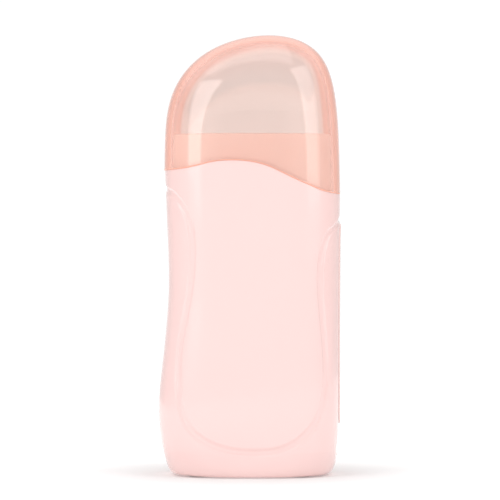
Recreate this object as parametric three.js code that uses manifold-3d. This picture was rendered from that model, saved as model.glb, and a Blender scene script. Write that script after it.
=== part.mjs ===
// Roll-on wax heater, millimetres, +Z up. The origin is on the table under the middle of the body,
// +X is the side with the level window, the front faces -Y.
import * as THREE from 'three';
import { mergeVertices } from 'three/addons/utils/BufferGeometryUtils.js';
import Module from 'manifold-3d';

const wasm = await Module();
wasm.setup();

// ---------------------------------------------------------------- driving dimensions
const HEIGHT = 175.5;          // peak of the cap
const PEAK_X = 7.6;            // the peak leans to the window side
const BASE_Z = 0.6;            // underside of the shells, the feet stand below it
const WALL = 2.4;              // moulded shell wall
const CAP_WALL = 2.5;          // clear cap wall
const CAP_GAP = 0.3;           // slit between cap rim and shoulder
const PART_GAP = 0.05;         // half the parting gap between the shells
const COLLAR = { z0: 104, z1: 135.5, inset: 2.7, wall: 1.5, deck: 2.0, bead0: 107.3, bead1: 109.3 };
const WELL = { x: 1.2, w: 54, d: 29.6, r: 9, wall: 1.0, z0: 26, floor: 1.0, z1: 133.3 };
const SLOT = { w: 10, z0: 34, z1: 98 };                     // sight slot in the sleeve
const WINDOW = { w: 14, z0: 20, z1: 100.4, proud: 0.5, flange: 2.0 };
const LAMP = { z: 9.0, d: 4.0 };
const CHANNEL = { width: 2.2, depth: 0.35 };
const PANEL = { x: 18, z0: 4, z1: 21, r: 3, y: 22.3, back: 19.9 };
const INLET = { x: -6, z: 12.5, w: 19.5, h: 11.5, y0: 7.5, y1: 23.3, pitch: 8.6, pin: 2.4 };
const SWITCH = { x: 11, z: 12.5, w: 8.8, h: 13.2, y0: 12, y1: 23.3, openW: 7.4, openH: 11.6 };
const ROCKER = { w: 6.8, half: 5.3, pivotY: 21.6, tilt: -10 };
const BOSS = { x: 25, z: 19, d: 7 };
const FOOT = { x: 20, y: 12, d: 8, h: 1.5 };
const HEATER = { z0: 44, z1: 94 };
const SIDES = 32;              // points round a body section

// outlines seen from the front: [z, x]
const BODY_LEFT = [[0.6, -29.3], [1.14, -30.9], [1.8, -31.7], [3, -32.5], [5.4, -33.3], [7.8, -33.95], [10.2, -34.55],
  [15, -35.45], [19.8, -36.1], [24.6, -36.38], [27, -36.4], [30.6, -36.27], [34.2, -36], [39, -35.45], [43.8, -34.87],
  [48.6, -34.32], [53.4, -33.82], [58.2, -33.37], [63, -32.98], [66.6, -32.66], [70.2, -32.42], [75, -32.31], [79.8, -32.28],
  [84.6, -32.36], [89.4, -32.5], [97.8, -32.89], [106.2, -33.22], [114.6, -33.5], [120.6, -33.84], [125.4, -33.8],
  [131, -33.65], [137.4, -33.45]];
const BODY_RIGHT = [[0.6, 31], [1.14, 32.2], [1.8, 32.95], [3, 33.67], [4.2, 34.1], [5.4, 34.4], [7.8, 34.7], [10.2, 34.85],
  [12.6, 35], [15, 35.25], [17.4, 35.45], [20, 35.56], [25, 35.66], [32, 35.68], [45, 35.64], [60, 35.64], [75, 35.74],
  [90, 35.85], [99, 35.98], [105, 36.12], [110, 36.2], [114, 36.19], [118, 36.1], [125.4, 35.85], [131, 35.65], [137.4, 35.3]];
const BODY_DEPTH = [[0.6, 22.9], [1.0, 23.7], [1.8, 24.2], [3, 24.45], [8, 24.6], [15, 24.8], [28, 25], [45, 24.8], [60, 24.5],
  [80, 24.2], [100, 24.0], [120, 23.8], [137.4, 23.5]];
const CAP_LEFT = [[108, -34.3], [115, -34.22], [121.8, -34.12], [125.4, -34.08], [129, -33.98], [132.6, -33.9], [137.4, -33.75],
  [139.8, -33.56], [142.2, -33.33], [144.6, -32.98], [147, -32.49], [149.4, -31.86], [151.8, -31.06], [154.2, -30.05],
  [156.6, -28.78], [159, -27.27], [161.4, -25.46], [163.8, -23.22], [166.2, -20.53], [168.6, -17.2], [171, -12.75],
  [173.4, -6.3], [175.5, 7.6]];
const CAP_RIGHT = [[108, 36.22], [112.2, 36.2], [114.6, 36.2], [118.2, 36.15], [121.8, 36.08], [125.4, 35.97], [129, 35.87],
  [132.6, 35.78], [137.4, 35.55], [142.2, 35.24], [147, 34.78], [151.8, 34.14], [154.2, 33.7], [156.6, 33.16], [159, 32.5],
  [161.4, 31.66], [163.8, 30.57], [166.2, 29.14], [168.6, 27.2], [171, 24.35], [173.4, 19.9], [175.5, 7.6]];
// lower edge of the cap, seen from the front: [x, z]
const WAVE = [[-40, 121.2], [-34, 121.4], [-28.7, 121.6], [-23.3, 122.3], [-18, 123.5], [-12.8, 124.6], [-6.5, 124.9],
  [0.3, 124.4], [5.6, 123.2], [13.4, 119.8], [18.7, 117.2], [24, 115], [29.3, 112.9], [35.4, 111.9], [40, 111.7]];
// middle line of the U-shaped channel, seen from the front: [x, z]
const CHANNEL_LINE = [[-40, 118.5], [-33.6, 114.3], [-30.7, 112.1], [-27.3, 108.3], [-24.9, 104.2], [-23.4, 99.4], [-22.7, 94.6],
  [-22.5, 88.4], [-22.7, 81], [-23.6, 73.5], [-25, 65.2], [-26.6, 57.3], [-27.7, 49], [-28.1, 40.9], [-28.0, 34.6],
  [-27.5, 29], [-25.9, 23.5], [-23, 18.6], [-18.1, 14.7], [-11.7, 11.9], [-2, 10.1], [7.4, 10.2], [14.7, 12], [20.5, 15.5],
  [25.3, 20.9], [28.4, 27.6], [29.7, 34.5], [30, 41], [29.8, 48.5], [29.2, 56.7], [28.4, 65.8], [27.8, 74.3], [27.8, 81.7],
  [28.3, 87], [29.4, 92.1], [31.5, 96.6], [36.1, 102.4], [40, 106]];

// ---------------------------------------------------------------- curves
// shape-preserving cubic through the points of a table
function smooth(table) {
  const n = table.length, x = table.map(p => p[0]), y = table.map(p => p[1]);
  const h = [], d = [], m = new Array(n).fill(0);
  for (let i = 0; i < n - 1; i++) { h.push(x[i + 1] - x[i]); d.push((y[i + 1] - y[i]) / h[i]); }
  m[0] = d[0]; m[n - 1] = d[n - 2];
  for (let i = 1; i < n - 1; i++) {
    if (d[i - 1] * d[i] > 0) {
      const a = 2 * h[i] + h[i - 1], b = h[i] + 2 * h[i - 1];
      m[i] = (a + b) / (a / d[i - 1] + b / d[i]);
    }
  }
  return v => {
    if (v <= x[0]) return y[0] + m[0] * (v - x[0]);
    if (v >= x[n - 1]) return y[n - 1] + m[n - 1] * (v - x[n - 1]);
    let i = 0;
    while (v > x[i + 1]) i++;
    const t = (v - x[i]) / h[i], t2 = t * t, t3 = t2 * t;
    return (2 * t3 - 3 * t2 + 1) * y[i] + (t3 - 2 * t2 + t) * h[i] * m[i] + (3 * t2 - 2 * t3) * y[i + 1] + (t3 - t2) * h[i] * m[i + 1];
  };
}

const bodyLeft = smooth(BODY_LEFT), bodyRight = smooth(BODY_RIGHT), bodyDepth = smooth(BODY_DEPTH);
const wave = smooth(WAVE);
const squareness = z => (z < 10 ? 2.5 + 0.3 * Math.max(0, z - 0.6) / 9.4 : 2.8);
// the cap's sections turn to plain ellipses at its peak
const capSquareness = s => 2 + 0.8 * (1 - Math.exp(-((s / 3.5) ** 2)));

// body section at a height, drawn in by d
const bodySection = (z, d = 0) => ({ z, xl: bodyLeft(z) + d, xr: bodyRight(z) - d, b: bodyDepth(z) - d, n: squareness(z) });

// the cap's outlines run over s = sqrt(top - z), which keeps the round top smooth
const capOutline = table => {
  const f = smooth(table.map(([z, x]) => [Math.sqrt(Math.max(0, HEIGHT - z)), x]).sort((p, q) => p[0] - q[0]));
  return s => f(s);
};
const capDepthAt = z => {
  const z0 = 134;
  if (z <= z0) return bodyDepth(z) + 0.25;
  const u = (z - z0) / (HEIGHT - z0);
  return (bodyDepth(z0) + 0.25) * Math.sqrt(Math.max(0, 1 - u ** 2.7));
};
// outline drawn in along its own normal by d, given again over sqrt(new top - z)
function insetOutline(outline, d, side) {
  const pts = [], n = 260, smax = Math.sqrt(HEIGHT - 108);
  for (let i = 0; i <= n; i++) {
    const s = smax * i / n, e = 1e-3;
    const s0 = Math.max(0, s - e), s1 = Math.min(smax, s + e);
    const dx = outline(s1) - outline(s0), dz = -(s1 * s1 - s0 * s0);
    const len = Math.hypot(dx, dz) || 1;
    let nx = -side * Math.abs(dz) / len, nz = -Math.abs(dx) / len;
    if (i === 0) { nx = 0; nz = -1; }
    pts.push([Math.sqrt(Math.max(0, HEIGHT - d - (HEIGHT - s * s + d * nz))), outline(s) + d * nx]);
  }
  const kept = [pts[0]];
  for (const p of pts) if (p[0] > kept[kept.length - 1][0] + 0.02) kept.push(p);
  return smooth(kept);
}
const capL = capOutline(CAP_LEFT), capR = capOutline(CAP_RIGHT);
const capB = s => capDepthAt(HEIGHT - s * s);
const inL = insetOutline(capL, CAP_WALL, -1), inR = insetOutline(capR, CAP_WALL, 1), inB = insetOutline(capB, CAP_WALL, 1);
const capOuterSection = z => { const s = Math.sqrt(HEIGHT - z); return { z, xl: capL(s), xr: capR(s), b: capB(s), n: capSquareness(s) }; };
const capInnerSection = z => {
  const s = Math.sqrt(HEIGHT - CAP_WALL - z);
  return { z, xl: inL(s), xr: inR(s), b: inB(s), n: capSquareness(s) };
};

// ---------------------------------------------------------------- solids
function solid(geometry) {
  const g = geometry.clone();
  g.deleteAttribute('normal');
  g.deleteAttribute('uv');
  const m = mergeVertices(g, 1e-4);
  const src = m.index ? m.index.array : Uint32Array.from({ length: m.attributes.position.count }, (_, i) => i);
  const p = m.attributes.position.array;
  let tri = [], volume = 0;
  for (let i = 0; i < src.length; i += 3) {
    const [a, b, c] = [src[i], src[i + 1], src[i + 2]];
    if (a === b || b === c || a === c) continue;
    tri.push(a, b, c);
    const v = k => new THREE.Vector3(p[3 * k], p[3 * k + 1], p[3 * k + 2]);
    volume += v(a).dot(v(b).cross(v(c))) / 6;
  }
  if (volume < 0) tri = tri.reverse();
  return new wasm.Manifold(new wasm.Mesh({ numProp: 3, vertProperties: Float32Array.from(p), triVerts: Uint32Array.from(tri) }));
}
function geometryOf(man) {
  const mesh = man.getMesh();
  const g = new THREE.BufferGeometry();
  g.setAttribute('position', new THREE.BufferAttribute(Float32Array.from(mesh.vertProperties), 3));
  g.setIndex(new THREE.BufferAttribute(Uint32Array.from(mesh.triVerts), 1));
  g.computeVertexNormals();
  return g;
}
// closed body through superellipse sections, with an optional apex point on top
function loft(sections, apex = null, sides = SIDES) {
  const pos = [], idx = [];
  for (const s of sections) {
    const cx = (s.xl + s.xr) / 2, a = (s.xr - s.xl) / 2;
    for (let i = 0; i < sides; i++) {
      const t = 2 * Math.PI * i / sides, c = Math.cos(t), q = Math.sin(t);
      const e = 2 / s.n;
      const px = Math.abs(c) < 1e-9 ? 0 : Math.sign(c) * Math.abs(c) ** e, py = Math.abs(q) < 1e-9 ? 0 : Math.sign(q) * Math.abs(q) ** e;
      pos.push(cx + a * px, s.b * py, s.z);
    }
  }
  const rows = sections.length;
  for (let r = 0; r < rows - 1; r++) for (let i = 0; i < sides; i++) {
    const a = r * sides + i, b = r * sides + (i + 1) % sides, c = a + sides, d = b + sides;
    idx.push(a, b, d, a, d, c);
  }
  const first = sections[0], last = sections[rows - 1];
  const lo = pos.length / 3;
  pos.push((first.xl + first.xr) / 2, 0, first.z);
  const hi = pos.length / 3;
  if (apex) pos.push(apex[0], 0, apex[1]); else pos.push((last.xl + last.xr) / 2, 0, last.z);
  for (let i = 0; i < sides; i++) {
    const j = (i + 1) % sides;
    idx.push(lo, j, i, hi, (rows - 1) * sides + i, (rows - 1) * sides + j);
  }
  const g = new THREE.BufferGeometry();
  g.setAttribute('position', new THREE.Float32BufferAttribute(pos, 3));
  g.setIndex(idx);
  return solid(g);
}
const shapeOf = pts => new THREE.Shape(pts.map(p => new THREE.Vector2(p[0], p[1])));
const flat = { bevelEnabled: false, steps: 1, curveSegments: 1 };
const prismZ = (pts, z0, z1) => solid(new THREE.ExtrudeGeometry(shapeOf(pts), { ...flat, depth: z1 - z0 }).translate(0, 0, z0));
const prismY = (pts, y0, y1) => solid(new THREE.ExtrudeGeometry(shapeOf(pts), { ...flat, depth: y1 - y0 }).rotateX(Math.PI / 2).translate(0, y1, 0));
const alongX = new THREE.Matrix4().makeBasis(new THREE.Vector3(0, 1, 0), new THREE.Vector3(0, 0, 1), new THREE.Vector3(1, 0, 0));
const prismX = (pts, x0, x1) => solid(new THREE.ExtrudeGeometry(shapeOf(pts), { ...flat, depth: x1 - x0 }).applyMatrix4(alongX).translate(x0, 0, 0));
const block = (x0, x1, y0, y1, z0, z1) => solid(new THREE.BoxGeometry(x1 - x0, y1 - y0, z1 - z0).translate((x0 + x1) / 2, (y0 + y1) / 2, (z0 + z1) / 2));
const roundY = (x, z, r, y0, y1, seg = 20) => solid(new THREE.CylinderGeometry(r, r, y1 - y0, seg).translate(x, (y0 + y1) / 2, z));
const roundX = (y, z, r, x0, x1, seg = 20) => solid(new THREE.CylinderGeometry(r, r, x1 - x0, seg).rotateZ(Math.PI / 2).translate((x0 + x1) / 2, y, z));
const roundZ = (x, y, r, z0, z1, seg = 24) => solid(new THREE.CylinderGeometry(r, r, z1 - z0, seg).rotateX(Math.PI / 2).translate(x, y, (z0 + z1) / 2));
// rounded rectangle about a centre
function roundRect(cu, cv, w, h, r, seg = 6) {
  const pts = [];
  const corners = [[w / 2 - r, h / 2 - r, 0], [-w / 2 + r, h / 2 - r, 1], [-w / 2 + r, -h / 2 + r, 2], [w / 2 - r, -h / 2 + r, 3]];
  for (const [u, v, q] of corners) for (let i = 0; i <= seg; i++) {
    const t = (q + i / seg) * Math.PI / 2;
    pts.push([cu + u + r * Math.cos(t), cv + v + r * Math.sin(t)]);
  }
  return pts;
}
// insulated wire along a smooth route
function wire(route, r, steps = 14, sides = 8) {
  const path = new THREE.CatmullRomCurve3(route.map(p => new THREE.Vector3(...p)), false, 'centripetal');
  const ring = [];
  for (let i = 0; i < sides; i++) ring.push([r * Math.cos(2 * Math.PI * i / sides), r * Math.sin(2 * Math.PI * i / sides)]);
  return solid(new THREE.ExtrudeGeometry(shapeOf(ring), { steps, bevelEnabled: false, extrudePath: path }));
}

const group = new THREE.Group();
function add(name, man, color, roughness, metalness = 0, extra = {}) {
  const mesh = new THREE.Mesh(geometryOf(man), new THREE.MeshStandardMaterial({ color, roughness, metalness, ...extra }));
  mesh.name = name;
  group.add(mesh);
  return mesh;
}
const PINK = 0xffe4e1, PEACH = 0xf6c9b4, STEEL = 0xb9bcc0, BRASS = 0xcaa45c, NICKEL = 0xc9cacb;

// ---------------------------------------------------------------- body shells
const BODY_LEVELS = [0.6, 1.1, 2.4, 6, 12, 19, 28, 40, 52, 66, 80, 95, 110, 126];
const INNER_LEVELS = [3.0, 6, 12, 19, 28, 40, 52, 66, 80, 95, 110, 128];
const bodyLoft = (d, levels) => loft(levels.map(z => bodySection(z, d)));
const ringBetween = (d0, d1, z0, z1) => loft([bodySection(z0, d0), bodySection(z1, d0)]).subtract(loft([bodySection(z0 - 1, d1), bodySection(z1 + 1, d1)]));

const outerBody = bodyLoft(0, BODY_LEVELS);
const waveXs = [];
for (let x = -40; x <= 40.01; x += 4) waveXs.push(x);
const aboveWave = drop => prismY([...waveXs.map(x => [x, wave(x) - drop]), [40, 200], [-40, 200]], -40, 40);

// the channel is a band swept front to back, cut only skin deep
function channelBand(width) {
  const line = [];
  const curve = new THREE.CatmullRomCurve3(CHANNEL_LINE.map(([x, z]) => new THREE.Vector3(x, z, 0)), false, 'centripetal');
  for (const p of curve.getPoints(32)) line.push([p.x, p.y]);
  const left = [], right = [];
  line.forEach((p, i) => {
    const a = line[Math.max(0, i - 1)], b = line[Math.min(line.length - 1, i + 1)];
    const dx = b[0] - a[0], dz = b[1] - a[1], l = Math.hypot(dx, dz);
    left.push([p[0] - dz / l * width / 2, p[1] + dx / l * width / 2]);
    right.push([p[0] + dz / l * width / 2, p[1] - dx / l * width / 2]);
  });
  return prismY([...right, ...left.reverse()], -40, 40);
}
const channelCut = channelBand(CHANNEL.width).subtract(bodyLoft(CHANNEL.depth, [0, ...BODY_LEVELS.slice(3)]));

let body = outerBody.subtract(bodyLoft(WALL, INNER_LEVELS)).subtract(aboveWave(CAP_GAP));
// groove that traps the collar's bead, ledge under the collar, ledge under the well holder
body = body.subtract(loft([bodySection(107.0, 1.3), bodySection(109.6, 1.3)]));
body = body.add(ringBetween(2.1, 4.4, 101.4, 103.6));
body = body.add(ringBetween(2.1, 5.4, 21.3, 23.3).subtract(block(-20, 20, -30, 30, 15, 30)).subtract(block(20, 40, -9.5, 9.5, 15, 30)));
// screw bosses on both sides
const inside = bodyLoft(1.0, [2, 6, 12, 19, 28]);
for (const sx of [-1, 1]) {
  body = body.add(roundY(sx * BOSS.x, BOSS.z, BOSS.d / 2, -25, 25).intersect(inside).subtract(block(-40, 40, -0.25, 0.25, 0, 40)));
}
// pad behind the recessed rear panel
body = body.add(block(-PANEL.x - 2, PANEL.x + 2, PANEL.back, PANEL.y, 2.5, 21.9).intersect(bodyLoft(0.6, [1.5, 6, 12, 19, 28])));
body = body.subtract(prismY(roundRect(0, (PANEL.z0 + PANEL.z1) / 2, PANEL.x * 2, PANEL.z1 - PANEL.z0, PANEL.r), PANEL.y, 40));
body = body.subtract(block(INLET.x - INLET.w / 2 - 0.3, INLET.x + INLET.w / 2 + 0.3, 18, 30, INLET.z - INLET.h / 2 - 0.3, INLET.z + INLET.h / 2 + 0.3));
body = body.subtract(block(SWITCH.x - SWITCH.w / 2 - 0.3, SWITCH.x + SWITCH.w / 2 + 0.3, 18, 30, SWITCH.z - SWITCH.h / 2 - 0.3, SWITCH.z + SWITCH.h / 2 + 0.3));
body = body.subtract(channelCut);
for (const sx of [-1, 1]) {
  body = body.subtract(roundY(sx * BOSS.x, BOSS.z, 1.7, -10, 12));
  body = body.subtract(roundY(sx * BOSS.x, BOSS.z, 2.9, 9.6, 40));
  for (const sy of [-1, 1]) body = body.subtract(roundZ(sx * FOOT.x, sy * FOOT.y, FOOT.d / 2 + 0.3, 0, 1.7));
}
// window and lamp openings
const windowPrism = (w, z0, z1) => prismX(roundRect(0, (z0 + z1) / 2, w, z1 - z0, w / 2 - 0.01), 24, 45);
body = body.subtract(windowPrism(WINDOW.w, WINDOW.z0, WINDOW.z1));
body = body.subtract(roundX(0, LAMP.z, LAMP.d / 2 + 0.3, 30, 40));

add('front_shell', body.intersect(block(-60, 60, -60, -PART_GAP, -10, 200)), PINK, 0.22);
add('rear_shell', body.intersect(block(-60, 60, PART_GAP, 60, -10, 200)), PINK, 0.22);

// ---------------------------------------------------------------- neck collar
{
  const d = COLLAR.inset, lv = [COLLAR.z0, 119, 134.9];
  let c = loft([...lv.map(z => bodySection(z, d)), bodySection(COLLAR.z1, d + 0.6)]);
  c = c.add(loft([bodySection(COLLAR.bead0, d - 1), bodySection(COLLAR.bead1, d - 1)]));
  c = c.subtract(loft([COLLAR.z0 - 1, 119, COLLAR.z1 - COLLAR.deck].map(z => bodySection(z, d + COLLAR.wall))));
  // locating lip under the deck and the cartridge opening
  const cx = WELL.x;
  c = c.add(prismZ(roundRect(cx, 0, 59.4, 35, 11.7), 130.5, 134).intersect(loft([bodySection(130, d + 0.5), bodySection(136, d + 0.5)])));
  c = c.subtract(prismZ(roundRect(cx, 0, 56.6, 32.2, 10.3), 120, 133.5));
  c = c.subtract(prismZ(roundRect(cx, 0, WELL.w + 0.5, WELL.d + 0.5, WELL.r + 0.25), 120, 140));
  add('neck_collar', c, 0xfde6e0, 0.35);
}

// ---------------------------------------------------------------- cap
{
  const outerLv = [109, 124, 136, 143, 149.5, 155, 160, 164.5, 168.3, 171.5, 173.9, 175.1];
  const innerLv = [108, 124, 136, 143, 149.5, 155, 160, 164, 167.5, 170.3, 172.2];
  const outer = loft(outerLv.map(capOuterSection), [PEAK_X, HEIGHT]);
  const inner = loft(innerLv.map(capInnerSection), [PEAK_X, HEIGHT - CAP_WALL]);
  const c = outer.subtract(inner).intersect(aboveWave(0));
  const m = add('cap', c, PEACH, 0.08);
  m.material.transparent = true;
  m.material.opacity = 0.55;
}

// ---------------------------------------------------------------- window and lamp lens
{
  const lv = [12, 19, 28, 40, 52, 66, 80, 95, 110];
  let w = windowPrism(WINDOW.w - 0.6, WINDOW.z0 + 0.3, WINDOW.z1 - 0.3).intersect(bodyLoft(-WINDOW.proud, lv));
  w = w.add(windowPrism(WINDOW.w + 2 * WINDOW.flange, WINDOW.z0 - WINDOW.flange + 0.6, WINDOW.z1 - 0.3 + 1.2).intersect(bodyLoft(WALL + 0.2, lv)));
  w = w.subtract(bodyLoft(WALL + 1.2, lv));
  add('side_window', w, 0xf4efe9, 0.06);
  const out = bodyRight(LAMP.z) + 0.12, inn = bodyRight(LAMP.z) - WALL;
  const lens = roundX(0, LAMP.z, LAMP.d / 2, inn - 1, out).add(roundX(0, LAMP.z, 2.8, inn - 1.4, inn - 0.7));
  add('indicator_lens', lens, 0xf08a5a, 0.12);
}

// ---------------------------------------------------------------- feet and screws
for (const [name, sx, sy] of [['foot_front_left', -1, -1], ['foot_front_right', 1, -1], ['foot_rear_left', -1, 1], ['foot_rear_right', 1, 1]]) {
  add(name, roundZ(sx * FOOT.x, sy * FOOT.y, FOOT.d / 2, 0, FOOT.h), 0xd8d2cf, 0.85);
}
for (const [name, sx] of [['case_screw_left', -1], ['case_screw_right', 1]]) {
  let s = roundY(sx * BOSS.x, BOSS.z, 1.4, -8, 10, 12).add(roundY(sx * BOSS.x, BOSS.z, 2.5, 9.7, 11.7, 16));
  const c = [sx * BOSS.x, BOSS.z];
  s = s.subtract(block(c[0] - 1.3, c[0] + 1.3, 10.7, 13, c[1] - 0.3, c[1] + 0.3)).subtract(block(c[0] - 0.3, c[0] + 0.3, 10.7, 13, c[1] - 1.3, c[1] + 1.3));
  add(name, s, STEEL, 0.35, 1);
}

// ---------------------------------------------------------------- heating well and its holder
{
  const cx = WELL.x, w = WELL.wall;
  let s = prismZ(roundRect(cx, 0, WELL.w + 2 * w, WELL.d + 2 * w, WELL.r + w), WELL.z0, WELL.z1);
  s = s.subtract(prismZ(roundRect(cx, 0, WELL.w, WELL.d, WELL.r), WELL.z0 + WELL.floor, 140));
  s = s.subtract(prismX(roundRect(0, (SLOT.z0 + SLOT.z1) / 2, SLOT.w, SLOT.z1 - SLOT.z0, SLOT.w / 2 - 0.01), 20, 40));
  add('heating_well', s, 0xd7d9db, 0.32, 1);

  let h = loft([bodySection(23.6, WALL + 0.4), bodySection(25.6, WALL + 0.4)]);
  h = h.add(prismZ(roundRect(cx, 0, 59.2, 34.8, 11.6), 25, 31));
  h = h.subtract(prismZ(roundRect(cx, 0, 56.8, 32.4, 10.4), 25.6, 40));
  h = h.subtract(block(-16, 16, 17.41, 30, 20, 40));
  h = h.subtract(block(30.5, 40, -9.8, 9.8, 20, 40));
  h = h.subtract(block(-30, 34, -9, 9, 20, 40).intersect(block(-18, 22, -9, 9, 20, 40)));
  add('well_holder', h, 0xf2efe9, 0.5);
}

// ---------------------------------------------------------------- heater pack on the rear face of the well
{
  const cx = WELL.x, { z0, z1 } = HEATER, zm = (z0 + z1) / 2;
  const plate = (w, y0, y1, a, b) => block(cx - w / 2, cx + w / 2, y0, y1, a, b);
  add('inner_insulator', plate(34, 15.9, 16.2, z0 - 1, z1 + 3), 0xc98a2e, 0.4);
  add('inner_electrode', plate(26, 16.3, 16.7, z0 + 1, z1 - 1).add(block(cx - 12, cx - 8, 16.3, 16.7, 41.5, z0 + 2)), NICKEL, 0.35, 1);
  add('ptc_stone_upper', plate(24, 16.8, 18.9, zm + 7, zm + 22), 0x5c5b5e, 0.8);
  add('ptc_stone_lower', plate(24, 16.8, 18.9, zm - 22, zm - 7), 0x5c5b5e, 0.8);
  add('outer_electrode', plate(26, 19.0, 19.4, z0 + 1, z1 - 1).add(block(cx + 9, cx + 13, 19.0, 19.4, 41.5, z0 + 2)), NICKEL, 0.35, 1);
  add('outer_insulator', plate(29, 19.5, 19.8, z0, z1), 0xc98a2e, 0.4);
  // spring clip: a bar over the pack whose ends bend down beside it onto the sleeve
  let c = block(cx - 8, cx + 8, 19.9, 20.5, zm - 24, zm + 24);
  c = c.subtract(block(cx - 4, cx + 4, 19, 22, zm - 20, zm - 4)).subtract(block(cx - 4, cx + 4, 19, 22, zm + 4, zm + 20));
  c = c.add(block(cx - 8, cx + 8, 19.9, 20.5, z1 + 0, z1 + 4.6)).add(block(cx - 8, cx + 8, 19.9, 20.5, zm + 20, z1 + 1));
  c = c.add(block(cx - 8, cx + 8, 15.95, 20.5, z1 + 4, z1 + 4.6)).add(block(cx - 8, cx + 8, 15.95, 16.55, z1 + 4, z1 + 9));
  add('clamp_spring', c, STEEL, 0.3, 1);

  add('thermostat', prismY(roundRect(-5.5, 36.5, 15, 7.5, 1), 15.95, 19.75), 0x2b2b2d, 0.45);
  add('thermal_fuse', roundX(18.2, 36.5, 1.95, 6, 16.5, 16), 0xd9d4c4, 0.4);
  const arc = [];
  for (let i = 0; i <= 10; i++) { const t = Math.PI * i / 10; arc.push([18.2 + 2.75 * Math.sin(t), 36.5 + 2.75 * Math.cos(t)]); }
  const arcIn = [];
  for (let i = 10; i >= 0; i--) { const t = Math.PI * i / 10; arcIn.push([18.2 + 2.25 * Math.sin(t), 36.5 + 2.25 * Math.cos(t)]); }
  add('fuse_clip', prismX([[15.95, 42], [16.45, 42], [16.45, 39.25], ...arc, [16.45, 33.75], [16.45, 31.3], [15.95, 31.3],
    [15.95, 34.25], ...arcIn, [15.95, 38.75]], 9, 13.5), STEEL, 0.35, 1);
}

// ---------------------------------------------------------------- mains inlet
{
  const { x, z, w, h, y0, y1 } = INLET;
  let s = block(x - w / 2, x + w / 2, y0, 22.6, z - h / 2, z + h / 2);
  s = s.add(prismY(roundRect(x, z, w + 2.8, h + 3, 2, 4), 22.4, y1));
  for (const k of [-1, 1]) s = s.add(block(x + k * (w / 2 + 0.3) - 0.6, x + k * (w / 2 + 0.3) + 0.6, 17.6, 19.6, z - 3, z + 3));
  s = s.subtract(prismY(roundRect(x, z, 16.4, 8.7, 4.3, 6), 10.2, 30));
  for (const k of [-1, 1]) s = s.subtract(roundY(x + k * INLET.pitch / 2, z, INLET.pin / 2 + 0.3, 0, 12, 16));
  add('inlet_socket', s, 0xf3e3df, 0.4);
  for (const [name, k] of [['inlet_pin_left', -1], ['inlet_pin_right', 1]]) {
    const px = x + k * INLET.pitch / 2;
    const pin = new THREE.LatheGeometry([[0, 0], [1.2, 0], [1.2, 14.9], [0.85, 15.7], [0, 15.9]].map(p => new THREE.Vector2(...p)), 14);
    add(name, solid(pin.translate(px, 4.5, z)), BRASS, 0.28, 1);
  }
}

// ---------------------------------------------------------------- rocker switch
{
  const { x, z, w, h, y0, y1, openW, openH } = SWITCH;
  let s = block(x - w / 2, x + w / 2, y0, 22.6, z - h / 2, z + h / 2).add(prismY(roundRect(x, z, 10.5, 15, 1, 3), 22.4, y1));
  for (const k of [-1, 1]) s = s.add(block(x - 2, x + 2, 17.6, 19.6, z + k * (h / 2 + 0.3) - 0.6, z + k * (h / 2 + 0.3) + 0.6));
  s = s.subtract(block(x - openW / 2, x + openW / 2, 17.4, 30, z - openH / 2, z + openH / 2));
  s = s.subtract(roundX(ROCKER.pivotY, z, 1.2, x - 4.15, x + 4.15, 14));
  add('switch_body', s, 0xf6ece9, 0.35);

  // rocker, drawn level about its pivot and then tipped to OFF
  const u = ROCKER.half;
  const prof = [[-1.6, -u], [1.5, -u], [2.0, -u + 0.6], [1.45, -2.6], [1.3, 0], [1.45, 2.6], [2.0, u - 0.6], [1.5, u], [-1.6, u], [-3.2, 1.8], [-3.2, -1.8]];
  const tilted = THREE.MathUtils.degToRad(ROCKER.tilt);
  let r = prismX(prof, -ROCKER.w / 2, ROCKER.w / 2).add(roundX(0, 0, 0.8, -3.95, 3.95, 12));
  const g = geometryOf(r);
  g.rotateX(tilted).translate(x, ROCKER.pivotY, z);
  const rocker = new THREE.Mesh(g, new THREE.MeshStandardMaterial({ color: 0xf9dcd6, roughness: 0.3 }));
  rocker.name = 'rocker';
  group.add(rocker);

  add('switch_terminal_upper', block(x - 1.5, x + 1.5, 5.5, y0 - 0.1, z + 3.2, z + 3.8), BRASS, 0.3, 1);
  add('switch_terminal_lower', block(x - 1.5, x + 1.5, 5.5, y0 - 0.1, z - 3.8, z - 3.2), BRASS, 0.3, 1);
}

// ---------------------------------------------------------------- indicator lamp
{
  add('led_board', block(24.6, 25.8, -8, 8, 4, 14), 0x2f6b45, 0.6);
  const led = new THREE.LatheGeometry([[0, 0], [1.9, 0], [1.9, 0.8], [1.5, 0.8], [1.5, 3.4], [1.25, 4.3], [0.7, 4.85], [0, 5]].map(p => new THREE.Vector2(...p)), 16);
  add('led', solid(led.rotateZ(-Math.PI / 2).translate(25.95, 0, LAMP.z)), 0xe2552f, 0.15);
  const roundYat = (xx, zz, r, a, b) => roundY(xx, zz, r, a, b, 12);
  add('resistor', roundYat(23.2, 6.4, 1.2, -3.3, 3.3), 0xd8c8a0, 0.5);
  add('diode', roundYat(23.2, 10.0, 1.2, -2.6, 2.6), 0x1e1e20, 0.4);
}

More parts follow.
